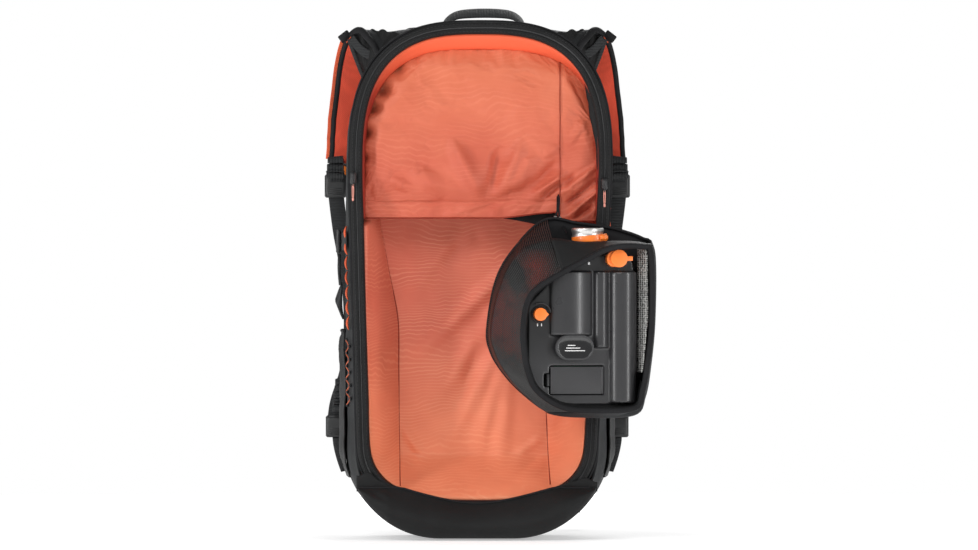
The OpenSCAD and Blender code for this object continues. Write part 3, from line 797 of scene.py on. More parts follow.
def moulded_copy(node, look, body, voxel=1.0, rounds=8):
    """A CAD shell whose edges are melted into moulded fillets."""
    obj = node_copy(node)
    obj.data.materials.append(look)
    remesh = obj.modifiers.new("remesh", "REMESH")
    remesh.mode, remesh.voxel_size = "VOXEL", voxel * MM
    soft = obj.modifiers.new("soft", "SMOOTH")
    soft.factor, soft.iterations = 0.5, rounds
    mesh = bpy.data.meshes.new_from_object(obj.evaluated_get(bpy.context.evaluated_depsgraph_get()))
    obj.modifiers.clear()
    obj.data = mesh
    mesh.polygons.foreach_set("use_smooth", [True] * len(mesh.polygons))
    mesh.polygons.foreach_set("material_index", [0] * len(mesh.polygons))
    mesh.update()
    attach(obj, body)
    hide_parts(node)
    return obj


# ------------------------------------------------------------------ shell of the pack


def station_at(y):
    """Outline parameters at a depth, eased between the stations."""
    rows = np.array(STATIONS, float)
    return [np.interp(y, rows[:, 0], rows[:, k]) for k in range(1, 6)]


def build_shell():
    """The shell as one cloth round sides, top and base, with a piped seam."""
    depths = np.concatenate([[-84, -82.5], np.linspace(-80, 64, 34), [66]])
    rings = []
    for y in depths:
        p = pack_outline(*station_at(y))
        out = unit(p - np.array([0, 300]))
        x, z = p[:, 0], p[:, 1]
        along = np.where(np.abs(x) > 100, z, x + 900)
        swell = 1.2 * clouds(along, y * 1.6, 46, 11) + 0.5 * value_noise(along, y * 0.5, 13, 5)
        piped = np.exp(-((y - 34) / 3.0) ** 2) * 1.2 - 0.8 * np.exp(-((y - 30) / 1.6) ** 2)
        lift = np.where(z < 6, 0.3, np.clip(swell + piped, -2.2, 1.8))
        fade = np.clip((y + 84) / 20, 0.15, 1) * np.clip((70 - y) / 12, 0.15, 1)
        p = p + out * (lift * fade - 0.6)[:, None]
        p[:, 1] = np.maximum(p[:, 1], 0.2)
        rings.append(np.stack([p[:, 0], np.full(len(p), y), p[:, 1]], 1))
    g = np.array(rings).transpose(1, 0, 2)
    shape = Shape()
    shape.sheet(g, 2.4, closed_u=True, back_slot=1)
    shell = shape.make("shell_fabric_skin", [shell_cloth, lining_plain], "root",
                       ("base_panel", "left_side_panel", "right_side_panel", "top_panel"))
    declare_sheet(shell)


def outline_path(g, y, n=420):
    """A closed path round the opening, grown by g, at one depth."""
    p = resample(opening_outline(g), n, closed=True)
    return np.stack([p[:, 0], np.full(len(p), float(y)), p[:, 1]], 1)


def outward(path):
    """Directions pointing out of the opening, along a closed path round it."""
    t = np.roll(path, -1, 0) - np.roll(path, 1, 0)
    n = unit(np.stack([t[:, 2], np.zeros(len(t)), -t[:, 0]], 1))
    centre = path.mean(0)
    n *= np.sign((n * (path - centre)).sum(1, keepdims=True))
    return n


def build_rim():
    """The padded zipper rim: tape, coil, and piping round the opening."""
    n = 520
    base = outline_path(0, 0, n)
    out = outward(base)
    profile = [(-0.6, -84), (-0.4, -89), (1.0, -91.2), (4.5, -91.6), (6.2, -90.2), (7.4, -90.2), (9.2, -91.8),
               (12.0, -91.0), (13.8, -88.5), (14.2, -85), (13.6, -82.4), (6, -81.6), (0.4, -82)]
    s = np.arange(n)
    rows = []
    for g, y in profile:
        wave = 0.35 * value_noise(s, g * 3, 14, 21) + 0.25 * value_noise(s, g * 5, 5, 22)
        row = base + out * (g + 0.4 * wave)[:, None]
        row[:, 1] = y + wave * (y < -88)
        rows.append(row)
    shape = Shape()
    shape.grid(np.array(rows).transpose(1, 0, 2), closed_u=True, closed_v=True)
    rim = shape.make("zipper_rim_tape", [smooth_cloth], "root", ("zipper_rim",), subdivide=1)
    declare_sheet(rim)
    coil = Shape()
    turns = 1600
    path = outline_path(6.8, -90.6, turns)
    swing = np.where(np.arange(turns) % 2 == 0, 1.25, 0.7)
    ring = [(math.cos(a), 0.7 * math.sin(a)) for a in np.arange(6) * math.pi / 3]
    coil.sweep(path, ring, outward(path), closed=True, scale=np.stack([swing, swing], 1))
    coil.make("zipper_coil", [zip_plastic], "root", smooth=False)
    piping = Shape()
    piping.tube(outline_path(14.2, -84.6, 360), 1.7, 8, closed=True)
    piping.make("rim_piping", [edge_tape], "root")
    seam = Shape()
    for g in (2.6, 11.0):
        path = outline_path(g, -91.8, 700)
        stitches(seam, path, (0, -1, 0), 2.6, 1.6, 0.28)
    seam.make("rim_stitching", [black_thread], "root")


def flap_edge(x):
    """Height of the folded panel's upper edge: a shallow curve, a little higher at the left."""
    return 42.5 + 0.33 * (np.sqrt(x * x + 45 ** 2) - 45) + 7 * step(-108, -124, x)


def crescent_edges(n=120, front=True):
    """Bottom and top edge of the crescent below the opening, left to right."""
    ring = pack_outline(147, 150, PACK_H, 2, 105) if front else pack_outline(138, 147, 584, 3, 100)
    low = ring[ring[:, 1] < 59.5]
    low = low[np.argsort(np.arctan2(low[:, 0], 200 - low[:, 1]))]
    x = np.linspace(-122, 124, 60)
    top = np.stack([x, np.minimum(flap_edge(x), 60)], 1)
    top = np.vstack([[(low[0, 0] + 1, 60)], top, [(low[-1, 0] - 1, 60)]])
    return resample(low, n), resample(top, n)


def build_flap():
    """The front panel, folded down under itself: the smooth crescent at the bottom."""
    low, top = crescent_edges(130)
    n_v = 26
    front, back = [], []
    for k in range(n_v + 1):
        v = k / n_v
        p = low * (1 - v) + top * v
        x, z = p[:, 0], p[:, 1]
        dome = math.sin(math.pi * (0.12 + 0.88 * v) ** 0.8) if v < 1 else 0
        side = np.clip((146 - np.abs(x)) / 46, 0.12, 1) ** 0.7
        left = step(-70, -130, x)
        folds = left * (1.6 * crease(x, z, (-128, 70), (-88, 40), 5)
                        - 2.0 * crease(x, z, (-124, 58), (-80, 34), 4)
                        + 1.5 * crease(x, z, (-132, 48), (-92, 24), 5))
        soft = 0.9 * clouds(x, z * 1.7, 44, 31)
        y = -97.5 - 21 * dome * side - folds - soft * dome
        front.append(np.stack([x, y, z], 1))
        back.append(np.stack([x, np.full(len(x), -96.2), z + 0.4 * (v < 0.5) - 0.4 * (v > 0.5)], 1))
    shape = Shape()
    loop = np.array(front + back[::-1]).transpose(1, 0, 2)
    shape.grid(loop, closed_v=True)
    shape.cap_ends(*loop.shape[:2])
    flap = shape.make("front_flap_fold", [smooth_cloth], "front_flap", ("front_flap",), subdivide=1)
    edge = Shape()
    path = np.stack([top[:, 0], np.full(len(top), -98.6), top[:, 1] - 0.6], 1)
    edge.tube(smooth_path(path[::6], 150), 1.5, 8)
    edge.make("front_flap_piping", [edge_tape], "front_flap")
    low, top = crescent_edges(90, front=False)
    rows = []
    for k in range(15):
        v = k / 14
        p = low * (1 - v) + top * v
        rows.append(np.stack([p[:, 0], -80.6 + 0.7 * clouds(p[:, 0], p[:, 1], 30, 8), p[:, 1]], 1))
    wall = Shape()
    wall.sheet(np.array(rows).transpose(1, 0, 2), 1.8)
    skin = wall.make("lower_front_skin", [shell_cloth], "root", ("lower_front_wall",))
    declare_sheet(skin)


def build_flap_corners():
    """Fixed cloth corners that carry the folded panel's edge on up over the rim."""
    shape = Shape()
    for side in (-1, 1):
        rows = []
        for t in np.linspace(0, 1, 24):
            x = side * (84 + 52 * t)
            top = flap_edge(x) - 9 * step(0.72, 1.0, t)
            fold = 1.0 * math.sin(9 * t + side)
            rows.append([(x, -93.4 + 0.4 * fold * b, 55 * (1 - b) + max(top, 56) * b)
                         for b in np.linspace(0, 1, 8)])
        rows = np.array(rows)
        shape.sheet(rows if side > 0 else rows[::-1], 1.2)
    corners = shape.make("front_flap_corners", [smooth_cloth], "root")
    declare_sheet(corners)


def build_haul_loop():
    """The webbing loop on top."""
    path = smooth_path([(x, 58, min(z - 5, 600.5)) for x, z in HAUL_PATH], 90)
    loop = Shape()
    lean = np.sin(np.linspace(0, math.pi, 90))[:, None] ** 0.3
    loop.sweep(path, rounded_strip(21, 2.6), np.array([0, 1, 0]) + np.array([0, 0, 0.56]) * lean)
    loop.make("haul_loop_webbing", [web_x], "haul_loop", ("haul_loop",))


# ------------------------------------------------------------------ back of the pack


def build_back():
    """The wearer's side: back panel, binding, foam pads, lumbar pad and strap yoke."""
    ring = pack_outline(*station_at(66), g=-1)
    levels = np.linspace(0, 1, 24)
    centre = np.array([0, 300])
    rows = []
    for k in levels:
        p = centre + (ring - centre) * (1 - k * 0.985)
        y = 70.5 + 2.2 * min(1, k * 6) + 0.7 * clouds(p[:, 0], p[:, 1], 50, 44)
        rows.append(np.stack([p[:, 0], y, p[:, 1]], 1))
    panel = Shape()
    g = np.array(rows).transpose(1, 0, 2)[::-1]
    panel.sheet(g, 3.0, closed_u=True)
    skin = panel.make("back_panel_skin", [shell_cloth], "root", ("back_wall",))
    declare_sheet(skin)
    binding = Shape()
    edge = pack_outline(*station_at(66), g=-1.5)
    line = np.stack([edge[:, 0], np.full(len(edge), 69.0), edge[:, 1] * 0.995 + 1.6], 1)
    binding.tube(line, 2.2, 8, closed=True)
    binding.make("back_binding", [edge_tape], "root")
    foam = Shape()
    for s in (-1, 1):
        foam.block((s * 49, 82, 337), (62, 17, 306), 7)

    def channels(v):
        groove = sum(np.exp(-((v[:, 2] - z) / 3.2) ** 2) for z in range(210, 480, 38))
        swell = 1 - 0.9 * np.clip(groove, 0, 1)
        out = v.copy()
        back = v[:, 1] > 80
        out[:, 1] = np.where(back, 80 + (v[:, 1] - 80) * (0.55 + 0.45 * swell), v[:, 1])
        return out

    puffed(foam, "back_foam_pads", [back_cloth], "root", ("back_foam",), 5, 3, 0.003, channels)
    lumbar = Shape()
    lumbar.block((0, 82.5, 112), (176, 17, 104), 8)

    def cross(v):
        groove = np.exp(-(v[:, 0] / 3.4) ** 2) + sum(np.exp(-((np.abs(v[:, 0]) - x) / 3) ** 2) for x in (48,))
        out = v.copy()
        out[:, 1] = np.where(v[:, 1] > 80, 80 + (v[:, 1] - 80) * (1 - 0.5 * np.clip(groove, 0, 1)), v[:, 1])
        return out

    puffed(lumbar, "lumbar_pad_cushion", [back_cloth], "root", ("lumbar_pad",), 5, 3, 0.003, cross)
    yoke = Shape()
    yoke.block((0, 81, 530), (202, 15, 46), 6)
    puffed(yoke, "strap_yoke_pad", [shell_cloth], "root", ("strap_yoke",), 5, 3, 0.003)


# ------------------------------------------------------------------ lining and airbag cover


def lining_depth(x, z):
    """Depth of the lower lining: a back wall, gussets to both sides and one to the foot."""
    left_seam = np.interp(z, [60, 130, 250, 364], [-86, -89, -90, -112])
    right_seam = np.interp(z, [60, 149, 330, 364], [82, 79, 80, 84])
    edge_left, edge_right = -124.0, 124.0
    left = np.clip((left_seam - x) / (left_seam - edge_left), 0, 1.15)
    right = np.clip((x - right_seam) / (edge_right - right_seam), 0, 1.15)
    foot = np.clip((96 - z) / 46, 0, 1.1) ** 1.35
    side = np.maximum(left, right) ** 1.05
    return -14 - 66 * np.clip(1 - (1 - np.clip(side, 0, 1.1)) * (1 - np.clip(foot, 0, 1.05)), 0, 1.04)


def lining_folds(x, z):
    """Soft folds fanning from behind the pouch, and wrinkles in the corners."""
    fan = 0
    for start, end, width, size in [((66, 330), (-84, 196), 9, 6.5), ((58, 300), (-70, 130), 10, 5.5),
                                    ((52, 268), (-40, 92), 9, 6.0), ((46, 250), (-8, 76), 8, 4.6),
                                    ((40, 214), (24, 70), 9, 4.4), ((10, 250), (-20, 150), 7, -3.0),
                                    ((-20, 352), (-86, 262), 8, 2.6), ((20, 356), (-60, 300), 9, -2.6)]:
        fan = fan + size * crease(x, z, start, end, width)
    low = 0
    for start, end, width, size in [((-86, 128), (-62, 92), 5, 2.4), ((-84, 108), (-56, 78), 5, -2.0),
                                    ((78, 118), (36, 86), 5, 2.6), ((80, 98), (30, 62), 5, -2.8),
                                    ((78, 84), (44, 58), 4, 2.2), ((92, 150), (86, 124), 4, -3.0),
                                    ((104, 150), (90, 122), 4, 2.6), ((118, 140), (84, 112), 5, -2.4),
                                    ((-120, 120), (-96, 92), 5, 2.0)]:
        low = low + size * crease(x, z, start, end, width)
    return fan + low + 1.1 * clouds(x, z * 0.8, 52, 61) + 0.35 * value_noise(x, z, 12, 64)


def build_lower_lining():
    """Lower lining as one cloth, from the rim down the gussets and across the back."""
    n_x, n_z = 150, 170
    rows = []
    for k in range(n_z):
        v = k / (n_z - 1)
        u = np.linspace(-1, 1, n_x)
        a = math.pi * (1 + (u + 1) / 2)
        c, s = np.cos(a), np.sin(a)
        foot_x = (OPEN_LOW - 0.5) * np.sign(c) * np.abs(c) ** (2 / OPENING_POWER)
        drop = OPENING_CORNER_Z - OPEN_FOOT - 0.5
        foot_z = OPENING_CORNER_Z - drop * np.abs(s) ** (2 / OPENING_POWER)
        top_x, top_z = 3.6 + u * 133.2, 378.0
        x = foot_x * (1 - v) + top_x * v
        z = foot_z * (1 - v) + top_z * v
        soft = np.clip((1 - np.abs(u)) * 9, 0, 1) * min(1, v * 12) * min(1, (1 - v) * 14)
        y = lining_depth(x, z) - lining_folds(x, z) * soft
        behind = np.where(x > 0, step(342, 350, z), step(354, 362, z))
        y = y * (1 - behind) + np.maximum(y, -57) * behind
        rows.append(np.stack([x, y, z], 1))
    g = np.array(rows).transpose(1, 0, 2)
    shape = Shape()
    shape.sheet(g[:, ::-1], 0.8)
    lining = shape.make("lower_lining_cloth", [lining_lower_look], "root",
                        ("lower_lining", "left_lining_gusset", "right_lining_gusset", "bottom_lining_gusset"))
    declare_sheet(lining)
    seams = Shape()
    for points in ([(-112, 364), (-101, 305), (-90.5, 250), (-89.5, 190), (-89, 130), (-88, 80), (-87, 60)],
                   [(80, 330), (79, 240), (79, 149), (81, 100), (83, 62)]):
        line = smooth_path(points, 120)
        y = lining_depth(line[:, 0], line[:, 1]) - 0.9
        y = np.minimum(y, y - lining_folds(line[:, 0], line[:, 1]) * 0.9)
        path = np.stack([line[:, 0], y, line[:, 1]], 1)
        seams.tube(path, 0.75, 6)
    seams.make("lining_seams", [seam_thread], "root")


def cover_gap(c, s):
    """Width of the bright band outside the cover's seam, by cosine and sine round the dome."""
    side = np.where(c < 0, 0.3, -1.7 * c)
    return side + (14 - side) * np.clip(s, 0, 1) ** (2.75 + 0.85 * c)


def dome_points(c, s, g):
    """Points of the opening's dome, grown by g."""
    x = DOME_SHIFT + (OPEN_HIGH + g) * np.sign(c) * np.abs(c) ** (2 / OPENING_POWER)
    z = OPENING_DOME_Z + (OPEN_TOP - OPENING_DOME_Z + g) * np.abs(s) ** (2 / OPENING_POWER)
    return x, z


def cover_foot(x):
    """Height of the cover's lower edge: level, then rising to the slit's end, then low again."""
    return 364 + 6 * step(20, 86, x) - 9.5 * step(91, 95, x)


def cover_grid(n_u, n_v):
    """Points across the airbag cover, fanned from its hem to its seam under the dome."""
    u = np.linspace(-1, 1, n_u)
    a = math.pi / 2 * (1 - u)
    c, s = np.cos(a), np.abs(np.sin(a))
    top = np.stack(dome_points(c, s, -cover_gap(c, s)), 1)
    low_x = DOME_SHIFT + (OPEN_HIGH - 3.5) * np.sign(c) * np.abs(c) ** (2 / OPENING_POWER)
    low = np.stack([low_x, cover_foot(low_x)], 1)
    v = np.linspace(0, 1, n_v)[None, :, None]
    return u, low[:, None] * (1 - v) + top[:, None] * v


COVER_FOLDS = [((-30, 456), (6, 384), 8, 8.5), ((26, 446), (12, 382), 7, -9.0),
               ((52, 456), (24, 384), 8, 7.5), ((-70, 430), (-40, 384), 8, 4.2),
               ((94, 430), (44, 384), 7, -9.0), ((100, 416), (62, 386), 5, 7.0),
               ((93, 404), (72, 385), 4, -7.5), ((66, 440), (34, 388), 7, 5.0),
               ((93, 446), (70, 430), 5, 3.0), ((134, 424), (92, 388), 4.5, 6.0),
               ((140, 410), (96, 376), 4.0, -7.0), ((140, 396), (97, 362), 3.5, 5.5),
               ((134, 378), (104, 360), 3.0, -4.4), ((122, 478), (98, 440), 6, 3.5),
               ((20, 500), (70, 440), 11, 3.0), ((-104, 420), (-70, 392), 8, 3.4),
               ((-60, 540), (-20, 470), 14, -3.6), ((60, 540), (30, 470), 14, 3.0)]
EDGE_PITS = [(-105, 508, 9, 15), (-116, 488, 8, 14), (-124, 460, 7, 12), (-90, 533, 9, 7),
             (-127, 432, 5, 6), (104, 406, 7, 6)]


def cover_depth(x, z, u, v):
    """Depth of the airbag cover: taut at its seams, full in the middle, tucked in over its hem."""
    full = (1 - np.abs(u) ** 6) * (1 - np.clip(2 * v - 1, 0, 1) ** 6)
    tuck = step(379, 403, z)
    y = -67 - 11 * full * (0.12 + 0.88 * tuck)
    for px, pz, size, depth in EDGE_PITS:
        y = y + depth * np.exp(-((x - px) ** 2 + (z - pz) ** 2) / size ** 2)
    for start, end, width, size in COVER_FOLDS:
        y = y - size * crease(x, z, start, end, width)
    pucker = np.exp(-((1 - v) * 11) ** 2)
    y = y + pucker * (1.4 * value_noise(x, z * 0.1, 7, 81) + 1.0 * value_noise(x, z * 0.1, 15, 82))
    seam = 1.8 * np.exp(-np.abs((x - 94) / 2.2)) * step(366, 380, z)
    ripple = np.sin(z / 5.5 + x / 14 + 2 * value_noise(x, z, 30, 9))
    side = step(98, 108, x) * 1.6 * ripple * step(430, 380, z)
    hem_line = 2.2 * np.exp(-((z - 382) / 1.6) ** 2) * step(94, 90, x)
    soft = 1.8 * clouds(x, z * 1.3, 60, 91) + 0.5 * value_noise(x, z, 14, 95)
    return y + seam + hem_line + side - soft * full


def build_cover():
    """The airbag cover over the upper half, its seams, and the dark slit below its hem."""
    n_u, n_v = 210, 150
    u, p = cover_grid(n_u, n_v)
    v = np.linspace(0, 1, n_v)[None, :]
    x, z = p[..., 0], p[..., 1]
    y = cover_depth(x, z, u[:, None], v)
    g = np.stack([x, y, z], 2)
    shape = Shape()
    shape.sheet(g, 0.8)
    cover = shape.make("airbag_cover_cloth", [lining_upper], "root", ("airbag_cover",))
    ruffle(cover, n_u, n_v)
    declare_sheet(cover)
    build_cover_seams(cover, g)
    build_slit()


def build_cover_seams(cover, g):
    """Seams under the dome and on the hem, and the upright seam, laid on the finished cloth."""
    n_u, n_v = g.shape[:2]
    seams = Shape()
    seams.tube(smooth_path(g[6:n_u - 6:5, n_v - 2] + np.array([0, -0.9, 0]), 300), 0.8, 6)
    seams.tube(smooth_path(g[4:n_u - 4:5, 0] + np.array([0, -0.3, 0]), 300), 0.9, 6)
    cloth = np.array([vertex.co for vertex in cover.data.vertices]) / MM
    line = np.array([(94.0, float(t)) for t in np.linspace(368, 541, 90)])
    depth = []
    for px, pz in line:
        near = np.hypot(cloth[:, 0] - px, cloth[:, 2] - pz) < 1.6
        depth.append(cloth[near, 1].min())
    depth = np.convolve(np.pad(depth, 2, mode="edge"), np.ones(5) / 5, "valid")
    seams.tube(np.stack([line[:, 0], depth - 0.3, line[:, 1]], 1), 0.48, 6)
    seams.make("cover_seams", [seam_thread], "root")


def build_slit():
    """Black cloth inside the slit below the hem, beside the pouch, which also stands in for the shade in the
    slit.
    """
    slit = Shape()
    rows = []
    for t in np.linspace(0, 1, 30):
        px = 10 + 84 * t
        top, low = cover_foot(px) + 2, 365 - 15 * t ** 1.6
        rows.append([(px, -61 + 2 * math.sin(9 * t + b), top * (1 - b) + low * b)
                     for b in np.linspace(0, 1, 8)])
    slit.sheet(np.array(rows), 1.0)
    # Black cloth that is partly the compartment's own black lining and partly painted shade in the slit.
    facing = slit.make("slit_facing", [smooth_cloth], "root")
    declare_sheet(facing)


def ruffle(obj, n_u, n_v):
    """Let the cover grow a little in a short cloth simulation, so that it wrinkles by itself."""
    edge = [i * n_v + j for i in range(n_u) for j in range(n_v)
            if i < 2 or j < 2 or i > n_u - 3 or j > n_v - 3]
    pinned = edge + [i + n_u * n_v for i in edge]
    simulate(obj, frames=14, shrink=-0.02, pinned=pinned, cap=0.004, stiffness=20, bending=0.3)


def build_ceiling():
    """The bright band between the cover's seam and the rim, right round the dome."""
    rows = []
    a = np.linspace(-0.3, math.pi + 0.3, 220)
    c, s = np.cos(a), np.sin(a)
    gap = np.maximum(cover_gap(c, s), 0.2) + 2.5
    for t, y in [(0.0, -84), (0.15, -83.2), (0.4, -79), (0.65, -75.5), (0.9, -71), (1.0, -68)]:
        x, z = dome_points(c, s, -0.2 - gap * t)
        x = np.where(s < 0, DOME_SHIFT + (OPEN_HIGH - 0.2 - gap * t) * np.sign(c), x)
        z = np.where(s < 0, OPENING_DOME_Z + 190 * s, z)
        wave = 1.1 * value_noise(a * 60, t * 3, 5, 15) * (t > 0.2)
        rows.append(np.stack([x, y + wave, z], 1))
    shape = Shape()
    shape.sheet(np.array(rows).transpose(1, 0, 2)[::-1], 0.8)
    band = shape.make("lining_ceiling_band", [band_look], "root", ("lining_ceiling",))
    declare_sheet(band)


def build_rim_shade_strip():
    """A black strip inside the rim on the right, where the cover dives under it: a dark sheet that stands in
    for the shade at the cover's edge.
    """
    rows = []
    for z in np.linspace(352, 528, 70):
        width = np.interp(z, [352, 380, 429, 450, 478, 500, 519, 528],
                          [0.4, 1.0, 2.5, 4.0, 7.0, 5.6, 1.6, 0.6])
        lift = max(0.0, (z - OPENING_DOME_Z) / (OPEN_TOP - OPENING_DOME_Z))
        edge = DOME_SHIFT + OPEN_HIGH * (1 - lift ** OPENING_POWER) ** (1 / OPENING_POWER)
        width += 0.5 * float(value_noise(z, 0, 9, 77))
        rows.append([(edge + 0.6 - (width + 0.6) * b, -84.6 + 3.0 * b ** 2, z) for b in np.linspace(0, 1, 6)])
    shape = Shape()
    shape.sheet(np.array(rows), 1.0)
    # A dark sheet as painted shade along the cover's right edge, next to the rim.
    facing = shape.make("rim_inner_facing", [smooth_cloth], "root")
    declare_sheet(facing)


def build_airbag():
    """The airbag, packed in folds behind its cover."""
    bag = node_copy("airbag")
    bag.name = "packed_airbag"
    mesh = remeshed(bag, 5)
    mesh.materials.clear()
    mesh.materials.append(airbag_cloth)
    v = np.array([p.co for p in mesh.vertices]) / MM
    centre = v.mean(0)
    fold = 3.0 * np.abs(value_noise(v[:, 0] * 0.4, v[:, 2], 16, 3))
    fold = fold + 1.5 * value_noise(v[:, 0], v[:, 2], 10, 4)
    v = centre + (v - centre) * 0.96 + np.stack([0 * fold, np.sign(v[:, 1] - centre[1]) * -fold, 0 * fold], 1)
    mesh.vertices.foreach_set("co", (v * MM).ravel())
    mesh.polygons.foreach_set("use_smooth", [True] * len(mesh.polygons))
    mesh.update()
    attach(bag, "root")
    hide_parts("airbag")


# ------------------------------------------------------------------ zip sliders and side details


def build_sliders():
    """Two zip sliders with cord pulls."""
    for side, x, z in (("left", -140, 409), ("right", 144, 402)):
        body = Shape()
        body.block((x, -95.4, z), (7, 4.6, 13), 1.6)
        body.block((x, -98.2, z + 1), (3, 2, 8), 0.8)
        body.tube(smooth_path([(x, -98.6, z - 1), (x, -99.3, z - 6), (x, -98.4, z - 9)], 9), 0.8, 7)
        slider = body.make(side + "_slider_body", [zip_plastic], side + "_zip_slider",
                           (side + "_zip_slider",))
        pull = Shape()
        for lean in (-1, 1):
            pull.tube(smooth_path([(x + 0.5 * lean, -98.4, z - 7), (x + 0.8 * lean, -98, z - 14),
                                   (x + 0.6 * lean, -97.6, z - 22)], 14), 0.55, 7)
        pull.block((x, -97.7, z - 24), (2.4, 2, 4), 0.8, slot=1)
        pull.make(side + "_slider_pull", [pull_cord, pull_cord], side + "_zip_slider")


def panel_point(y, z, side):
    """A point on the outer face of a side panel."""
    low_w, high_w, top, foot, r = station_at(y)
    if z > DOME_Z:
        s = min(1, ((z - DOME_Z) / (top - DOME_Z))) ** (DOME_POWER / 2)
        x = high_w * (1 - s * s) ** (1 / DOME_POWER)
    elif z > foot + r:
        x = low_w + (high_w - low_w) * (z - foot - r) / (DOME_Z - foot - r)
    else:
        x = low_w - r + math.sqrt(max(0, r * r - (foot + r - z) ** 2))
    return np.array([side * x, y, z])


def build_side_details():
    """Abstract lozenge trim and lacing on the sides, all sewn down."""
    for side, name, levels in ((-1, "left", range(238, 356, 17)), (1, "right", range(330, 400, 19))):
        trim = Shape()
        for k, z in enumerate(levels):
            lean = 5 if k % 2 else -4
            rows = []
            for t in np.linspace(0, 1, 7):
                w = 3.2 * math.sin(math.pi * min(0.98, max(0.02, t)))
                mid = panel_point(-77 + 0.6 * lean * (t - 0.5), z + 14 * t, side)
                lift = 1.4 + 2.2 * math.sin(math.pi * t)
                rows.append([mid + np.array([side * lift * (1 - 0.35 * a * a), a * w, 0])
                             for a in (-1, -0.4, 0.4, 1)])
            trim.sheet(np.array(rows) if side > 0 else np.array(rows)[:, ::-1], 1.6)
        trim.make(name + "_side_trim", [trim_orange], "root")
    lace = Shape()
    zig = []
    for k in range(11):
        y = -74 if k % 2 else -60
        zig.append(panel_point(y, 226 - 7.4 * k, -1) + np.array([-2.0, 0, 0]))
    lace.tube(smooth_path(zig, 160), 0.7, 7)
    for p in zig:
        lace.block(p + np.array([0.8, 0, 0]), (2.4, 5, 4), 0.8, slot=1)
    lace.make("left_side_lacing", [dull_cord, web_y], "root")
    for side, name in ((-1, "left"), (1, "right")):
        pocket = Shape()
        rows = []
        for z in np.linspace(70, 236, 40):
            row = []
            for y in np.linspace(-50, 44, 24):
                p = panel_point(y, z, side)
                bulge = 4.4 * math.sin(math.pi * (y + 50) / 94) ** 2 * step(60, 110, z)
                bulge = bulge + 1.2 * clouds(y, z, 24, 33)
                row.append(p + np.array([side * (1.6 + bulge * (0.6 if z > 228 else 1)), 0, 0]))
            rows.append(row)
        pocket.sheet(np.array(rows) if side > 0 else np.array(rows)[:, ::-1], 1.6)
        skin = pocket.make(name + "_side_pocket", [smooth_cloth], "root")
        declare_sheet(skin)
        hem = Shape()
        top = np.array(rows)[-1] + np.array([side * 0.4, 0, 0])
        hem.tube(smooth_path(top[::3], 50), 2.2, 8)
        hem.make(name + "_side_pocket_hem", [edge_tape], "root")


def build_side_straps():
    """The upper compression straps with their buckles and the pointed tabs below them."""
    for _, name, place in both_sides():
        points = [(-147.2, -79), (-150.6, -56), (-153.4, 0), (-153.4, 40), (-150.2, 64)]
        path = smooth_path([(x - 0.8, y, 338) for x, y in points], 60)
        strap = Shape()
        strap.sweep(path, rounded_strip(20, 2.2), (0, 0, 1))
        strap.tube(smooth_path([(-157, -17, 323), (-157.4, -16, 306), (-156, -14, 288)], 20), 1.8, 6)
        tab = []
        for t in np.linspace(0, 1, 14):
            reach = 8.5 * min(t / 0.5, (1 - t) / 0.5) ** 0.9
            tab.append([(-153.6 - reach * b, -14 + 2 * math.sin(5 * t) * b, 291 - 42 * t)
                        for b in (0, 0.5, 1)])
        strap.sheet(np.array(tab), 2.2)
        buckle = Shape()
        for z in (326.4, 337.8, 349.4):
            buckle.block((-158, -17, z), (5, 32, 4.0), 1.3)
        for y in (-32, -2):
            buckle.block((-158, y, 338), (5, 4.2, 27), 1.3)
        strap.make(name + "_side_strap_webbing", [web_y], "root", (name + "_side_strap",),
                           move=place)
        buckle.make(name + "_side_strap_buckle", [buckle_plastic], "root", move=place)


# ------------------------------------------------------------------ shoulder straps


def strap_frame(n=90):
    """Middle line and widths of the left shoulder strap."""
    path = smooth_path(STRAP_PATH, n)
    at = np.linspace(0, 1, len(STRAP_WIDTHS))
    widths = np.interp(np.linspace(0, 1, n), at, STRAP_WIDTHS)
    return path, widths


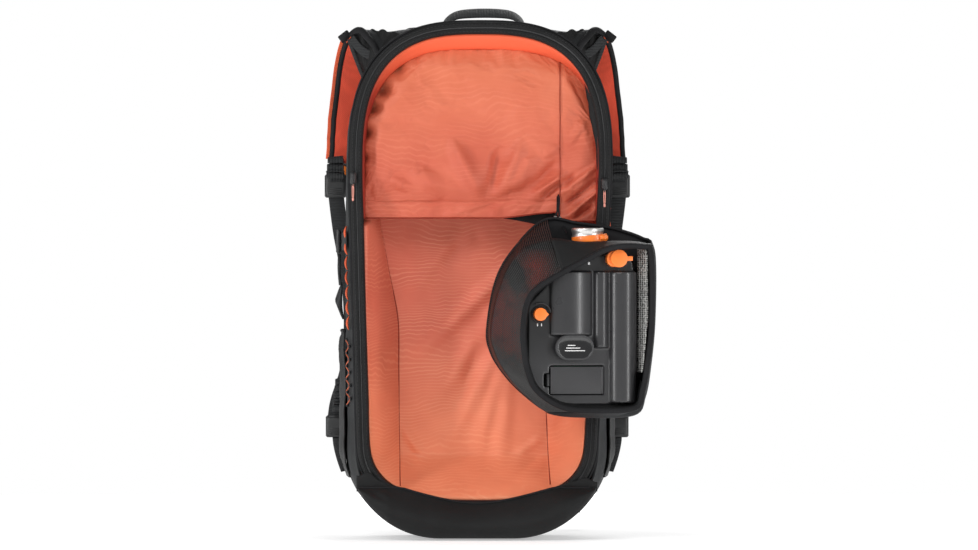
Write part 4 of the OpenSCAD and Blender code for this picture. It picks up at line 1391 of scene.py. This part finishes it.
def build_strap(side, name, place):
    """One shoulder strap: pad, binding, trim and webbing, with its gather and its locks."""
    body = name + "_strap"
    path, widths = strap_frame()
    t = unit(np.gradient(path, axis=0))
    across = unit(np.array([1.0, 0, 0]) - t * t[:, :1])
    out = np.cross(across, t)
    out *= np.sign((out * np.array([0, -1, 0.35])).sum(1, keepdims=True))
    u = np.linspace(-1, 1, 15)
    s = np.linspace(0, 1, len(path))[:, None]
    wave = 0.5 * clouds(s * 300, u[None] * 25, 22, 101)

    def face(sign, crown):
        dome = (1 - np.abs(u) ** 4)[None]
        lift = (2.4 + crown * dome + wave * dome)[..., None] * sign
        return (path[:, None] + across[:, None] * (u[None, :, None] * (widths[:, None, None] / 2 - 1.5))
                + out[:, None] * lift)

    inner, outer = face(1, 2.4), face(-1, 2.2)
    pad = Shape()
    loop = np.concatenate([inner, outer[:, ::-1]], 1)
    nu, nv = loop.shape[:2]
    pad.grid(loop, closed_v=True)
    pad.cap_ends(nu, nv, 1)
    for k in range((nu - 1) * nv):
        along, round_it = divmod(k, nv)
        pad.slots[k] = 1 if round_it >= len(u) or along < 30 else 0
    piece = pad.make(name + "_strap_pad", [strap_face, shell_cloth], body, (name + "_shoulder_pad",),
                     subdivide=1, move=place)
    binding = Shape()
    tape = [(-3.4, -4.2), (3.0, -4.2), (3.4, 0), (3.0, 4.2), (-3.4, 4.2), (-3.9, 0)]
    for edge in (-1, 1):
        line = path + across * (edge * (widths[:, None] / 2 - 1.2))
        binding.sweep(line, [(edge * a, b) for a, b in tape][::edge], across)
    binding.make(name + "_strap_binding", [edge_tape], body, subdivide=1, move=place)
    if side < 0:
        glow = Shape()
        line = path[34:] + across[34:] * (-(widths[34:, None] / 2) - 2.8) + out[34:] * -1.0
        glow.sweep(line, rounded_strip(6.4, 1.6), np.array([1.0, 0.15, 0.0]))
        glow.make(name + "_strap_edge_trim", [trim_orange], body)
    web = Shape()
    line = (path - out * 6.6)[34:]
    web.sweep(line, rounded_strip(18, 1.8), across[34:])
    web.make(name + "_strap_face_webbing", [web_z], body, move=place)
    gather(name, place)
    locks(name, place)


def gather(name, place):
    """The gathered wing of cloth that ties the top of a strap to the pack's shoulder."""
    rows = []
    for a in np.linspace(0, 1, 64):
        row = []
        for b in np.linspace(0, 1, 44):
            left = np.array([-151 + 23 * b, 136 + 10 * b, 575 - 54 * b])
            right = np.array([-86 - 28 * b, 96 - 12 * b, 575 - 32 * b])
            p = left * (1 - a) + right * a
            pleat = 2.4 * math.sin(20 * a + 6 * b + 2.0 * math.sin(4 * a)) * math.sin(math.pi * a) ** 0.5
            fold = 2.4 * float(clouds(p[0], p[2] * 0.7, 15, 141))
            crown = (8 + 1.6 * math.sin(31 * a)) * math.sin(math.pi * a) ** 0.7 * (1 - b) ** 1.5
            row.append(p + np.array([0, -(pleat + fold) * (1 - 0.4 * b) - 7 * math.sin(math.pi * b), crown]))
        rows.append(row)
    shape = Shape()
    shape.sheet(np.array(rows), 1.6)
    piece = shape.make(name + "_strap_gather", [smooth_cloth], name + "_strap", move=place)
    declare_sheet(piece)
    lifter = Shape()
    line = smooth_path([(-149, 128, 573), (-143, 126, 556), (-136, 129, 538), (-129, 138, 521)], 40)
    lifter.sweep(line, rounded_strip(5, 2.0), (0.9, -0.3, 0.3))
    line = smooth_path([(-146, 126, 574), (-134, 119, 560), (-120, 112, 553), (-108, 104, 552)], 40)
    lifter.sweep(line, rounded_strip(11, 2.0), (0.3, -0.3, 0.9))
    tilt = [[0.79, 0, 0.61], [0, 1, 0], [-0.61, 0, 0.79]]
    lifter.block((-154, 132, 576.5), (14, 3.4, 9.5), 1.0, turn=np.array(tilt).T, slot=1)
    lifter.block((-148.6, 131.4, 573.4), (1.2, 3.4, 11), 0.4, turn=np.array(tilt), slot=2)
    looks = [web_z, edge_tape, trim_orange]
    lifter.make(name + "_load_lifter", looks, name + "_strap", move=place)


def ladder_lock(shape, x, y, z, w, h, thick=7.0):
    """A ladder lock: side rails, bars and the broad thumb plate that hides them."""
    for s in (-1, 1):
        shape.block((x + s * (w / 2 - 2), y, z), (4.2, thick, h), 1.6)
    for k, level in enumerate((-0.42, 0.02, 0.42)):
        shape.block((x, y + (1.2 if k == 1 else 0), z + level * h), (w - 3, thick * 0.72, h * 0.17), 1.3)
    rows = []
    for b in np.linspace(0, 1, 9):
        wide = w / 2 - 0.6 - (1.8 * (b - 0.75) / 0.25 if b > 0.75 else 0)
        rows.append([(x + wide * a, y - thick * 0.42 - 1.1 * math.sin(math.pi * b) - 0.5 * (a * a < 0.6),
                      z + h * (0.44 - 0.93 * b)) for a in np.linspace(-1, 1, 9)])
    shape.sheet(np.array(rows), 2.4)
    for k in range(4):
        shape.block((x, y - thick * 0.42 - 1.6, z - h * (0.1 + 0.09 * k)), (w * 0.6, 0.9, 0.9), 0.3)


def webbing_roll(shape, x, y, z, w, h, turns=3):
    """The free end of a strap, folded up in a roll held by an elastic."""
    for k in range(turns):
        level = z + h * (k / turns + 0.12)
        path = smooth_path([(x, y - 4.5, level), (x, y - 6 + k, level + h / turns * 0.5),
                            (x, y - 2, level + h / turns * 0.8), (x, y + 4, level + h / turns * 0.55),
                            (x, y + 4.5, level)], 16)
        shape.sweep(path, rounded_strip(w - 1.4 * k, 2.2), (1, 0, 0.12 * (k - 1)))
    shape.tube(smooth_path([(x - w / 2, y - 6, z + h * 0.4), (x, y - 8, z + h * 0.44),
                            (x + w / 2, y - 6, z + h * 0.4)], 12), 1.2, 6)


def locks(name, place):
    """The strap's upper and lower ladder locks, the webbing between them and both rolled ends."""
    body = name + "_strap"
    lock = Shape()
    ladder_lock(lock, -165, 147.6, 403, 25, 27)
    lock.make(name + "_ladder_lock", [buckle_plastic], body, (name + "_strap_lock",), move=place)
    roll = Shape()
    webbing_roll(roll, -165, 141, 409, 21, 26)
    roll.block((-164, 144, 422), (17, 5, 28), 1.5)
    roll.make(name + "_webbing_roll", [web_x], body, move=place)
    web = Shape()
    web.sweep(smooth_path(LOWER_PATH, 90), rounded_strip(18, 2), (1, 0, 0))
    piece = web.make(name + "_lower_webbing", [web_z], "root", (name + "_strap_webbing",), move=place)
    piece.parent = None
    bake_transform(piece)
    low = Shape()
    ladder_lock(low, -163.5, 52, 125.5, 21, 25)
    low.make(name + "_lower_ladder_lock", [buckle_plastic], "root", (name + "_lower_lock",),
                     move=place)
    tail = Shape()
    webbing_roll(tail, -160, 43, 139, 12, 38, 5)
    rows = []
    for t in np.linspace(0, 1, 9):
        left = np.array([-166.5 + 10 * t ** 1.6, 50.4, 114 - 41 * t])
        right = np.array([-153.6 + 1.6 * t, 50.4, 114 - 40 * t])
        rows.append([left * (1 - a) + right * a for a in (0, 0.33, 0.66, 1)])
    tail.sheet(np.array(rows), 2.6)
    tail.make(name + "_lower_webbing_end", [web_z], "root", move=place)


def build_sternum():
    """Both halves of the sternum strap, hanging open on their sliders."""
    for _, name, place in both_sides():
        clip = Shape()
        clip.block((-133, 169.6, 521), (33, 3.6, 13), 1.4)
        clip.block((-133, 171.2, 521), (20, 2.4, 5), 0.9)
        clip.block((-109, 169.5, 435), (23, 6, 9), 1.8)
        for x in (-117, -109, -101):
            clip.block((x, 169.5, 423), (4.6, 5, 17), 1.6)
        clip.make(name + "_sternum_buckle", [buckle_plastic], name + "_sternum",
                          (name + "_sternum_strap",), move=place)
        web = Shape()
        path = smooth_path([(-109, 169, 519), (-109, 170.2, 500), (-109, 169.2, 470), (-109, 169.3, 437)], 50)
        web.sweep(path, rounded_strip(20, 2), (1, 0, 0))
        web.make(name + "_sternum_webbing", [web_z], name + "_sternum", move=place)


def build_trigger():
    """The trigger handle and the cloth sleeve on the left shoulder strap that holds it."""
    sleeve = Shape()
    rows = []
    for a in np.linspace(0, 2 * math.pi, 40, endpoint=False):
        c, s = math.cos(a), math.sin(a)
        row = []
        for t in np.linspace(0, 1, 22):
            w = 15.6 - 2 * t ** 4
            x = -141 + w * np.sign(c) * abs(c) ** 0.55
            y = 175 + 7.6 * np.sign(s) * abs(s) ** 0.6 + 0.5 * float(clouds(x, t * 50, 9, 17))
            row.append((x, y, 440.3 + 49 * t))
        rows.append(row)
    sleeve.sheet(np.array(rows)[::-1], 1.5, closed_u=True)
    piece = sleeve.make("trigger_sleeve_cloth", [smooth_cloth], "left_strap", ("trigger_sleeve",))
    declare_sheet(piece)
    softened("trigger_handle", orange_plastic, "trigger_handle", 1.6, 3)


def build_hip():
    """The hip belt's two padded wings with their ribs, tape and buckle halves."""
    for _, name, place in both_sides():
        path = smooth_path([(x, y, 100) for x, y in WING_PATH], 60)
        at = np.linspace(0, 1, len(WING_HEIGHTS))
        heights = np.interp(np.linspace(0, 1, 60), at, WING_HEIGHTS)
        t = unit(np.gradient(path, axis=0))
        out = np.stack([t[:, 1], -t[:, 0], 0 * t[:, 0]], 1)
        u = np.linspace(-1, 1, 17)
        s = np.linspace(0, 1, 60)
        dome = (1 - np.abs(u) ** 4)[None] * (1 - 0.6 * np.clip((s - 0.85) / 0.15, 0, 1))[:, None]
        ribs = 1 - 0.35 * sum(np.exp(-((s - r) / 0.018) ** 2) for r in (0.28, 0.52, 0.76))[:, None]
        wave = 0.6 * clouds(s[:, None] * 160, u[None] * 40, 18, 121)
        up = np.array([0, 0, 1.0])
        height = (heights / 2 - 1)[:, None, None] * u[None, :, None] * up
        root = np.clip(s / 0.14, 0.25, 1)[:, None]
        thick = (1.4 + (4.2 * dome * ribs + wave * dome) * root)[..., None]
        a, b = path[:, None] + height + out[:, None] * thick, path[:, None] + height - out[:, None] * thick
        wing = Shape()
        loop = np.concatenate([a, b[:, ::-1]], 1)
        wing.grid(loop, closed_v=True)
        wing.cap_ends(*loop.shape[:2])
        piece = wing.make(name + "_hip_wing_pad", [back_cloth], name + "_hip", (name + "_hip_wing",),
                          subdivide=1, move=place)
        tape = Shape()
        for edge in (-1, 1):
            line = path + up * edge * (heights / 2 - 0.6)[:, None]
            tape.tube(line, 2.4, 8)
        tape.sweep(smooth_path([(-122, 205, 100), (-119.4, 220, 97), (-117.4, 238, 90), (-116.6, 242, 74),
                                (-116.2, 242, 57)], 50), rounded_strip(17, 2), (0, 0.4, 0.9))
        tape.make(name + "_hip_wing_tape", [web_y], name + "_hip", move=place)
    softened("hip_buckle_male", buckle_plastic, "left_hip", 1.1)
    softened("hip_buckle_female", buckle_plastic, "right_hip", 1.1)


# ------------------------------------------------------------------ pouch


def front_y(x):
    """Depth of the pouch's front edge, which leans with the unit."""
    return POUCH_FRONT_Y + (x - UNIT_AT[0]) * math.tan(YAW) * 0.8


def pouch_ring(points, y, n=170):
    """A pouch section as a smooth closed ring of 3-D points."""
    p = smooth_path(points, n, closed=True)
    depth = np.full(n, float(y)) if np.isscalar(y) else y(p[:, 0])
    return np.stack([p[:, 0], depth, p[:, 1]], 1)


def pouch_surface(n_depth=22, n=170):
    """Rings from the rear edge to the front edge of the pouch."""
    rear = pouch_ring(POUCH_REAR, POUCH_Y, n)
    front = pouch_ring(POUCH_FRONT, front_y, n)
    middle = pouch_ring(POUCH_MID, lambda x: POUCH_Y + 0.7 * (front_y(x) - POUCH_Y), n)
    rings = []
    for t in np.linspace(0, 1, n_depth):
        if t < 0.7:
            k = t / 0.7
            rings.append(rear * (1 - k) + middle * k)
        else:
            k = (t - 0.7) / 0.3
            rings.append(middle * (1 - k) + front * k)
    return np.array(rings)


def stretch_of(start, end, n=170):
    """Ring indices between two corners, counted in corners of the pouch outline."""
    count = len(POUCH_FRONT)
    p = smooth_path(POUCH_FRONT, n, closed=True)

    def index(corner):
        target = np.array(POUCH_FRONT[corner % count])
        return int(np.argmin(((p - target) ** 2).sum(1)))

    a, b = index(start), index(end)
    return list(range(a, b + 1)) if b > a else list(range(a, n)) + list(range(0, b + 1))


def build_pouch_side(surface):
    """The side wall, from the top right corner round to the lower left."""
    cloth = Shape()
    side = surface[:, stretch_of(1, 7)].transpose(1, 0, 2)
    cloth.sheet(side, 2.0)
    wall = cloth.make("pouch_side_cloth", [shell_cloth, smooth_cloth], "pouch", ("pouch_side",))
    declare_sheet(wall)


def build_spacer_strip():
    """The strip of spacer mesh inside the right-hand wall."""
    strip = Shape()
    rows = []
    for z in np.linspace(190, 330, 50):
        front_x = np.interp(z, [170, 200, 249, 322, 332], [183.5, 187.5, 192.5, 192, 190])
        row = []
        for t in np.linspace(0, 1, 12):
            px = 181.5 * (1 - t) + front_x * t
            row.append((px + 1.4 * math.sin(math.pi * t), -118 * (1 - t) + (front_y(front_x) + 2) * t, z))
        rows.append(row)
    strip.sheet(np.array(rows), 1.4)
    spacer = strip.make("pouch_spacer_strip", [spacer_mesh], "pouch")
    declare_sheet(spacer)


def build_pouch_facing():
    """Black facing inside the binding, left open beside the spacer strip."""
    facing = Shape()
    ring = pouch_ring(POUCH_FRONT, front_y, 200)
    centre = ring.mean(0)
    rows = []
    for t, inward in ((0.0, 0.975), (0.35, 0.965), (0.7, 0.95), (1.0, 0.925)):
        part = centre + (ring - centre) * np.array([inward, 1, inward])
        part[:, 1] = ring[:, 1] + 2 + 16 * t
        rows.append(part)
    rows = np.array(rows).transpose(1, 0, 2)
    keep = [k for k in range(200) if not (rows[k, 0, 0] > 100 and rows[k, 0, 2] > 180)]
    start = next(k for k in range(200) if k in keep and (k - 1) % 200 not in keep)
    order = [(start + k) % 200 for k in range(len(keep))]
    facing.sheet(rows[order], 1.2)
    lip = facing.make("pouch_inner_facing", [smooth_cloth], "pouch")
    declare_sheet(lip)


def build_pouch_top(surface):
    """The lid below the outlet, in front of the hose."""
    top = Shape()
    top.sheet(surface[:, stretch_of(15, 1)].transpose(1, 0, 2)[:, 14:], 2.4)
    lid = top.make("pouch_top_cloth", [smooth_cloth], "pouch", ("pouch_top",))
    declare_sheet(lid)


def build_pouch_binding():
    """The folded tape round the pouch's front edge."""
    tape = Shape()
    ring = pouch_ring(POUCH_FRONT, front_y, 220)
    centre = ring.mean(0)
    across = ring - centre
    across[:, 1] = 0
    profile = [(1.6, 1.4), (-3.0, 1.2), (-4.4, 0.2), (-4.0, -2.0), (-0.6, -3.4), (1.8, -3.0), (2.6, -0.8)]
    tape.sweep(ring - np.array([0, 0.9, 0]), profile, across, closed=True)
    binding = tape.make("pouch_binding_tape", [edge_tape], "pouch", ("pouch_binding",), subdivide=1)


def build_pouch_back():
    """The back of the pouch and the piping round its rear edge."""
    back = Shape()
    ring = pouch_ring(POUCH_REAR, -96.2, 120)
    centre = ring.mean(0)
    rows = np.array([centre + (ring - centre) * k for k in np.linspace(1.0, 0.03, 12)]).transpose(1, 0, 2)
    back.sheet(rows[::-1], 1.5, closed_u=True)
    panel = back.make("pouch_back_cloth", [pouch_inside], "pouch", ("pouch_back",))
    declare_sheet(panel)
    hem = Shape()
    ring = pouch_ring(POUCH_REAR, POUCH_Y - 0.6, 200)
    hem.tube(ring, 1.8, 7, closed=True)
    hem.make("pouch_rear_piping", [edge_tape], "pouch")


def build_pouch():
    """The mesh pouch that holds the inflation unit."""
    surface = pouch_surface()
    build_net(surface)
    build_pouch_side(surface)
    build_spacer_strip()
    build_pouch_facing()
    build_pouch_top(surface)
    build_pouch_binding()
    build_pouch_back()


def build_net(surface):
    """The see-through gusset: ribs across it, a finer thread along it, each of them real."""
    rows = surface[:, stretch_of(7, 15)].transpose(1, 0, 2)
    n_ribs, n_along = 112, 30
    rows = np.array([resample(rows[:, j], n_ribs) for j in range(rows.shape[1])]).transpose(1, 0, 2)
    rows = np.array([resample(row, n_along) for row in rows])
    i, j = np.meshgrid(np.arange(n_ribs), np.arange(n_along), indexing="ij")
    bulge = 2.4 * value_noise(i, j, 15, 41) * np.sin(math.pi * j / (n_along - 1))
    rows = rows + np.stack([-0.6 * bulge, -0.8 * bulge, 0 * bulge], 2)
    net = Shape()
    for row in rows:
        net.tube(row, 0.62, 5)
    for k in range(0, n_along, 4):
        net.tube(rows[:, k], 0.2, 3)
    mesh = net.make("pouch_mesh_net", [mesh_thread], "pouch", ("pouch_gusset",))
    declare_sheet(mesh)
    hem = Shape()
    hem.tube(rows[:, n_along - 1] + np.array([-0.4, 0.5, 0]), 2.0, 7)
    hem.tube(rows[:, 0] + np.array([0, 0, 0]), 1.6, 7)
    hem.make("pouch_net_hems", [edge_tape], "pouch")


# ------------------------------------------------------------------ inflation unit


UNIT_FACE = -28.5
SELECTOR_AT, BADGE_AT, OUTLET_V = (-54.6, 101.4), (-15.6, 64.0), -3.8
BADGE_PROFILE = [(0.6, -32.0), (0, -34.5), (0, -37.4), (0.7, -38.6), (1.9, -38.6), (2.6, -37.9), (3.2, -37.7),
                 (9.0, -37.7), (13.6, -37.7)]


def oval_ring(cu, cw, half_w, half_h, v, n=64):
    """A stadium-shaped loop on the front of the unit."""
    r = half_h
    flat = half_w - half_h
    points = []
    for k in range(n):
        a = 2 * math.pi * k / n
        points.append((cu + math.copysign(flat, math.cos(a)) + r * math.cos(a), v, cw + r * math.sin(a)))
    return resample(points, n, closed=True)


def lathe(profile, u, v, n):
    """Points of a turned part that stands on (u, v): profile of radius and height."""
    angles = np.linspace(0, 2 * math.pi, n, endpoint=False)
    return np.array([[(u + r * math.cos(a), v + r * math.sin(a), w) for r, w in profile] for a in angles])


def build_housing():
    """Cover, base, door, latch and controls keep their CAD shape, with moulded edges."""
    moulded_copy("unit_cover", housing_look, "pouch", 1.0, 12)
    moulded_copy("unit_base", housing_look, "pouch", 1.2, 5)
    softened("battery_door", recess_look, "battery_door", 0.5)
    softened("battery_latch", dark_plastic, "battery_latch", 0.4)
    softened("selector_knob", orange_plastic, "selector_knob", 0.9, 3)
    softened("trigger_cap", orange_plastic, "trigger_cap", 1.6, 3)


def build_badge():
    """The oval badge: a raised rim round a glossy plate."""
    badge = Shape()
    rings = [oval_ring(*BADGE_AT, 22.4 - d, 14.4 - d, v) for d, v in BADGE_PROFILE]
    badge.grid(np.array(rings).transpose(1, 0, 2), closed_u=True)
    depth = len(BADGE_PROFILE)
    badge.faces.append(tuple(range(depth - 1, len(badge.points), depth)))
    badge.slots.append(1)
    for k in range(len(badge.faces) - 1):
        badge.slots[k] = 1 if k % (depth - 1) >= 5 else 0
    plate = badge.make("badge_plate", [recess_look, badge_face], "pouch", ("badge",), move=in_unit)


def build_outlet():
    """The turned metal flange that the hose is clamped to."""
    outlet = Shape()
    profile = [(14.6, 184), (17.4, 184), (18.0, 186), (18.0, 189), (17.2, 190.4), (17.6, 193), (18.4, 195),
               (18.4, 197.4), (17.6, 198.4), (15.4, 198.2), (14.6, 196.5)]
    outlet.grid(lathe(profile, 8, OUTLET_V, 64), closed_u=True, closed_v=True)
    disc = outlet.make("outlet_flange", [silver_metal], "pouch", ("outlet_ring",), move=in_unit)


def build_marks():
    """Plain white marks, in place of the lettering on the badge and at the controls."""
    marks = Shape()
    for u in (-52.0, -56.6):
        marks.block((u, UNIT_FACE, 89.6), (1.2, 0.5, 3.2), 0.2)
    marks.block((3, UNIT_FACE, 158.6), (2.2, 0.5, 3.0), 0.2)
    for k, width in enumerate((26, 18, 10)):
        marks.block((BADGE_AT[0] - 2.0 * k, -37.8, 60.6 + 3.0 * k), (width * 0.9, 0.3, 1.0), 0.14)
    marks.make("dial_marks", [white_mark], "pouch", move=in_unit)


def build_selector_guard():
    """The guard bow over the selector knob and the ring round its foot."""
    u, w = SELECTOR_AT
    guard = Shape()
    arc = [(u + 12.5 * math.cos(a), -30.2 - 3.5 * math.sin((a - 0.2) * 1.3), w + 12.5 * math.sin(a))
           for a in np.linspace(math.radians(10), math.radians(118), 30)]
    guard.tube(arc, 1.1, 8)
    guard.make("selector_guard", [dark_plastic], "pouch", move=in_unit)
    ring = Shape()
    ring.tube([(u + 8.8 * math.cos(a), -28.7, w + 8.8 * math.sin(a))
               for a in np.linspace(0, 2 * math.pi, 48, endpoint=False)], 0.9, 7, closed=True)
    ring.make("control_collars", [dark_plastic], "pouch", move=in_unit)


def build_clamp():
    """The orange band clamp below the outlet flange."""
    cap = Shape()
    band_path = [(10 + 19.2 * math.cos(a), OUTLET_V + 19.2 * math.sin(a), 186.0 + 1.8 * math.cos(a))
                 for a in np.linspace(math.radians(160), math.radians(380), 60)]
    cap.sweep(band_path, rounded_strip(9, 1.6), (0, 0, 1))
    cap.block((22, -23.6, 187.6), (9, 2.6, 5), 0.8)
    cap.make("outlet_clamp_band", [orange_plastic], "pouch", move=in_unit)


def paint_hidden_parts():
    """Materials for the CAD parts that stay as they are, inside the unit and the pack."""
    for node, look in (("capacitors", grey_metal), ("motor", grey_metal), ("volute", dark_plastic),
                       ("circuit_board", board_green), ("battery_cells", badge_face),
                       ("impeller", grey_metal), ("frame_sheet", grey_metal)):
        obj = bpy.data.objects[node]
        if not obj.material_slots:
            obj.data.materials.append(look)
        for slot in obj.material_slots:
            slot.material = look


def build_unit():
    """The inflation unit in its pouch."""
    build_housing()
    build_badge()
    build_outlet()
    build_marks()
    build_selector_guard()
    build_clamp()
    paint_hidden_parts()


def build_neck():
    """The orange hose that leads from the unit's outlet to the airbag."""
    path = smooth_path([(104, -8, 399), (104, -8, 388), (105, -16, 366), (107, -32, 349), (110, -52, 340),
                        (113, -72, 337), (116, -93, 337)], 110)
    t = unit(np.gradient(path, axis=0))
    side = unit(np.array([1.0, 0, 0]) - t * t[:, :1])
    up = np.cross(side, t)
    rows = []
    for a in np.linspace(0, 2 * math.pi, 36, endpoint=False):
        k = np.arange(110)
        r = 15.0 + 0.7 * np.sin(k * 0.9) + 0.8 * value_noise(k, np.full(110, a * 6), 6, 55)
        rows.append(path + side * (r * math.cos(a))[:, None] + up * (r * math.sin(a))[:, None])
    hose = Shape()
    hose.sheet(np.array(rows), 1.0, closed_u=True)
    piece = hose.make("airbag_neck_cloth", [lining_plain], "root", ("airbag_neck",))
    piece.parent = None
    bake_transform(piece)
    declare_sheet(piece)


def build_zip_cord():
    """The cord pull with two small toggles at the end of the slit above the pouch."""
    cord = Shape()
    cord.tube(smooth_path([(92, -76, 390), (93, -84, 384), (92.4, -89, 374), (93.4, -90, 364)], 30), 1.1, 7)
    cord.tube(smooth_path([(91, -76, 388), (91, -85, 380), (90.6, -90, 372), (89, -90, 365)], 30), 1.1, 7)
    cord.tube([(88.8, -90, 366), (88, -90, 361)], 1.9, 10, slot=1)
    cord.tube([(93.6, -90, 365), (95, -91, 360)], 2.1, 10, slot=1)
    cord.tube(smooth_path([(95, -91, 361), (98, -97, 354), (101, -110, 346)], 16), 1.0, 7)
    cord.make("cover_zip_cord", [edge_tape, silver_metal], "root")


# ------------------------------------------------------------------ everything in order

studio()
build_shell()
build_rim()
build_back()
build_flap()
build_flap_corners()
build_haul_loop()
build_lower_lining()
build_cover()
build_ceiling()
build_rim_shade_strip()
build_airbag()
build_sliders()
build_side_details()
build_side_straps()
for strap_side, strap_name, mirror in both_sides():
    build_strap(strap_side, strap_name, mirror)
build_sternum()
build_trigger()
build_hip()
build_pouch()
build_unit()
build_neck()
build_zip_cord()
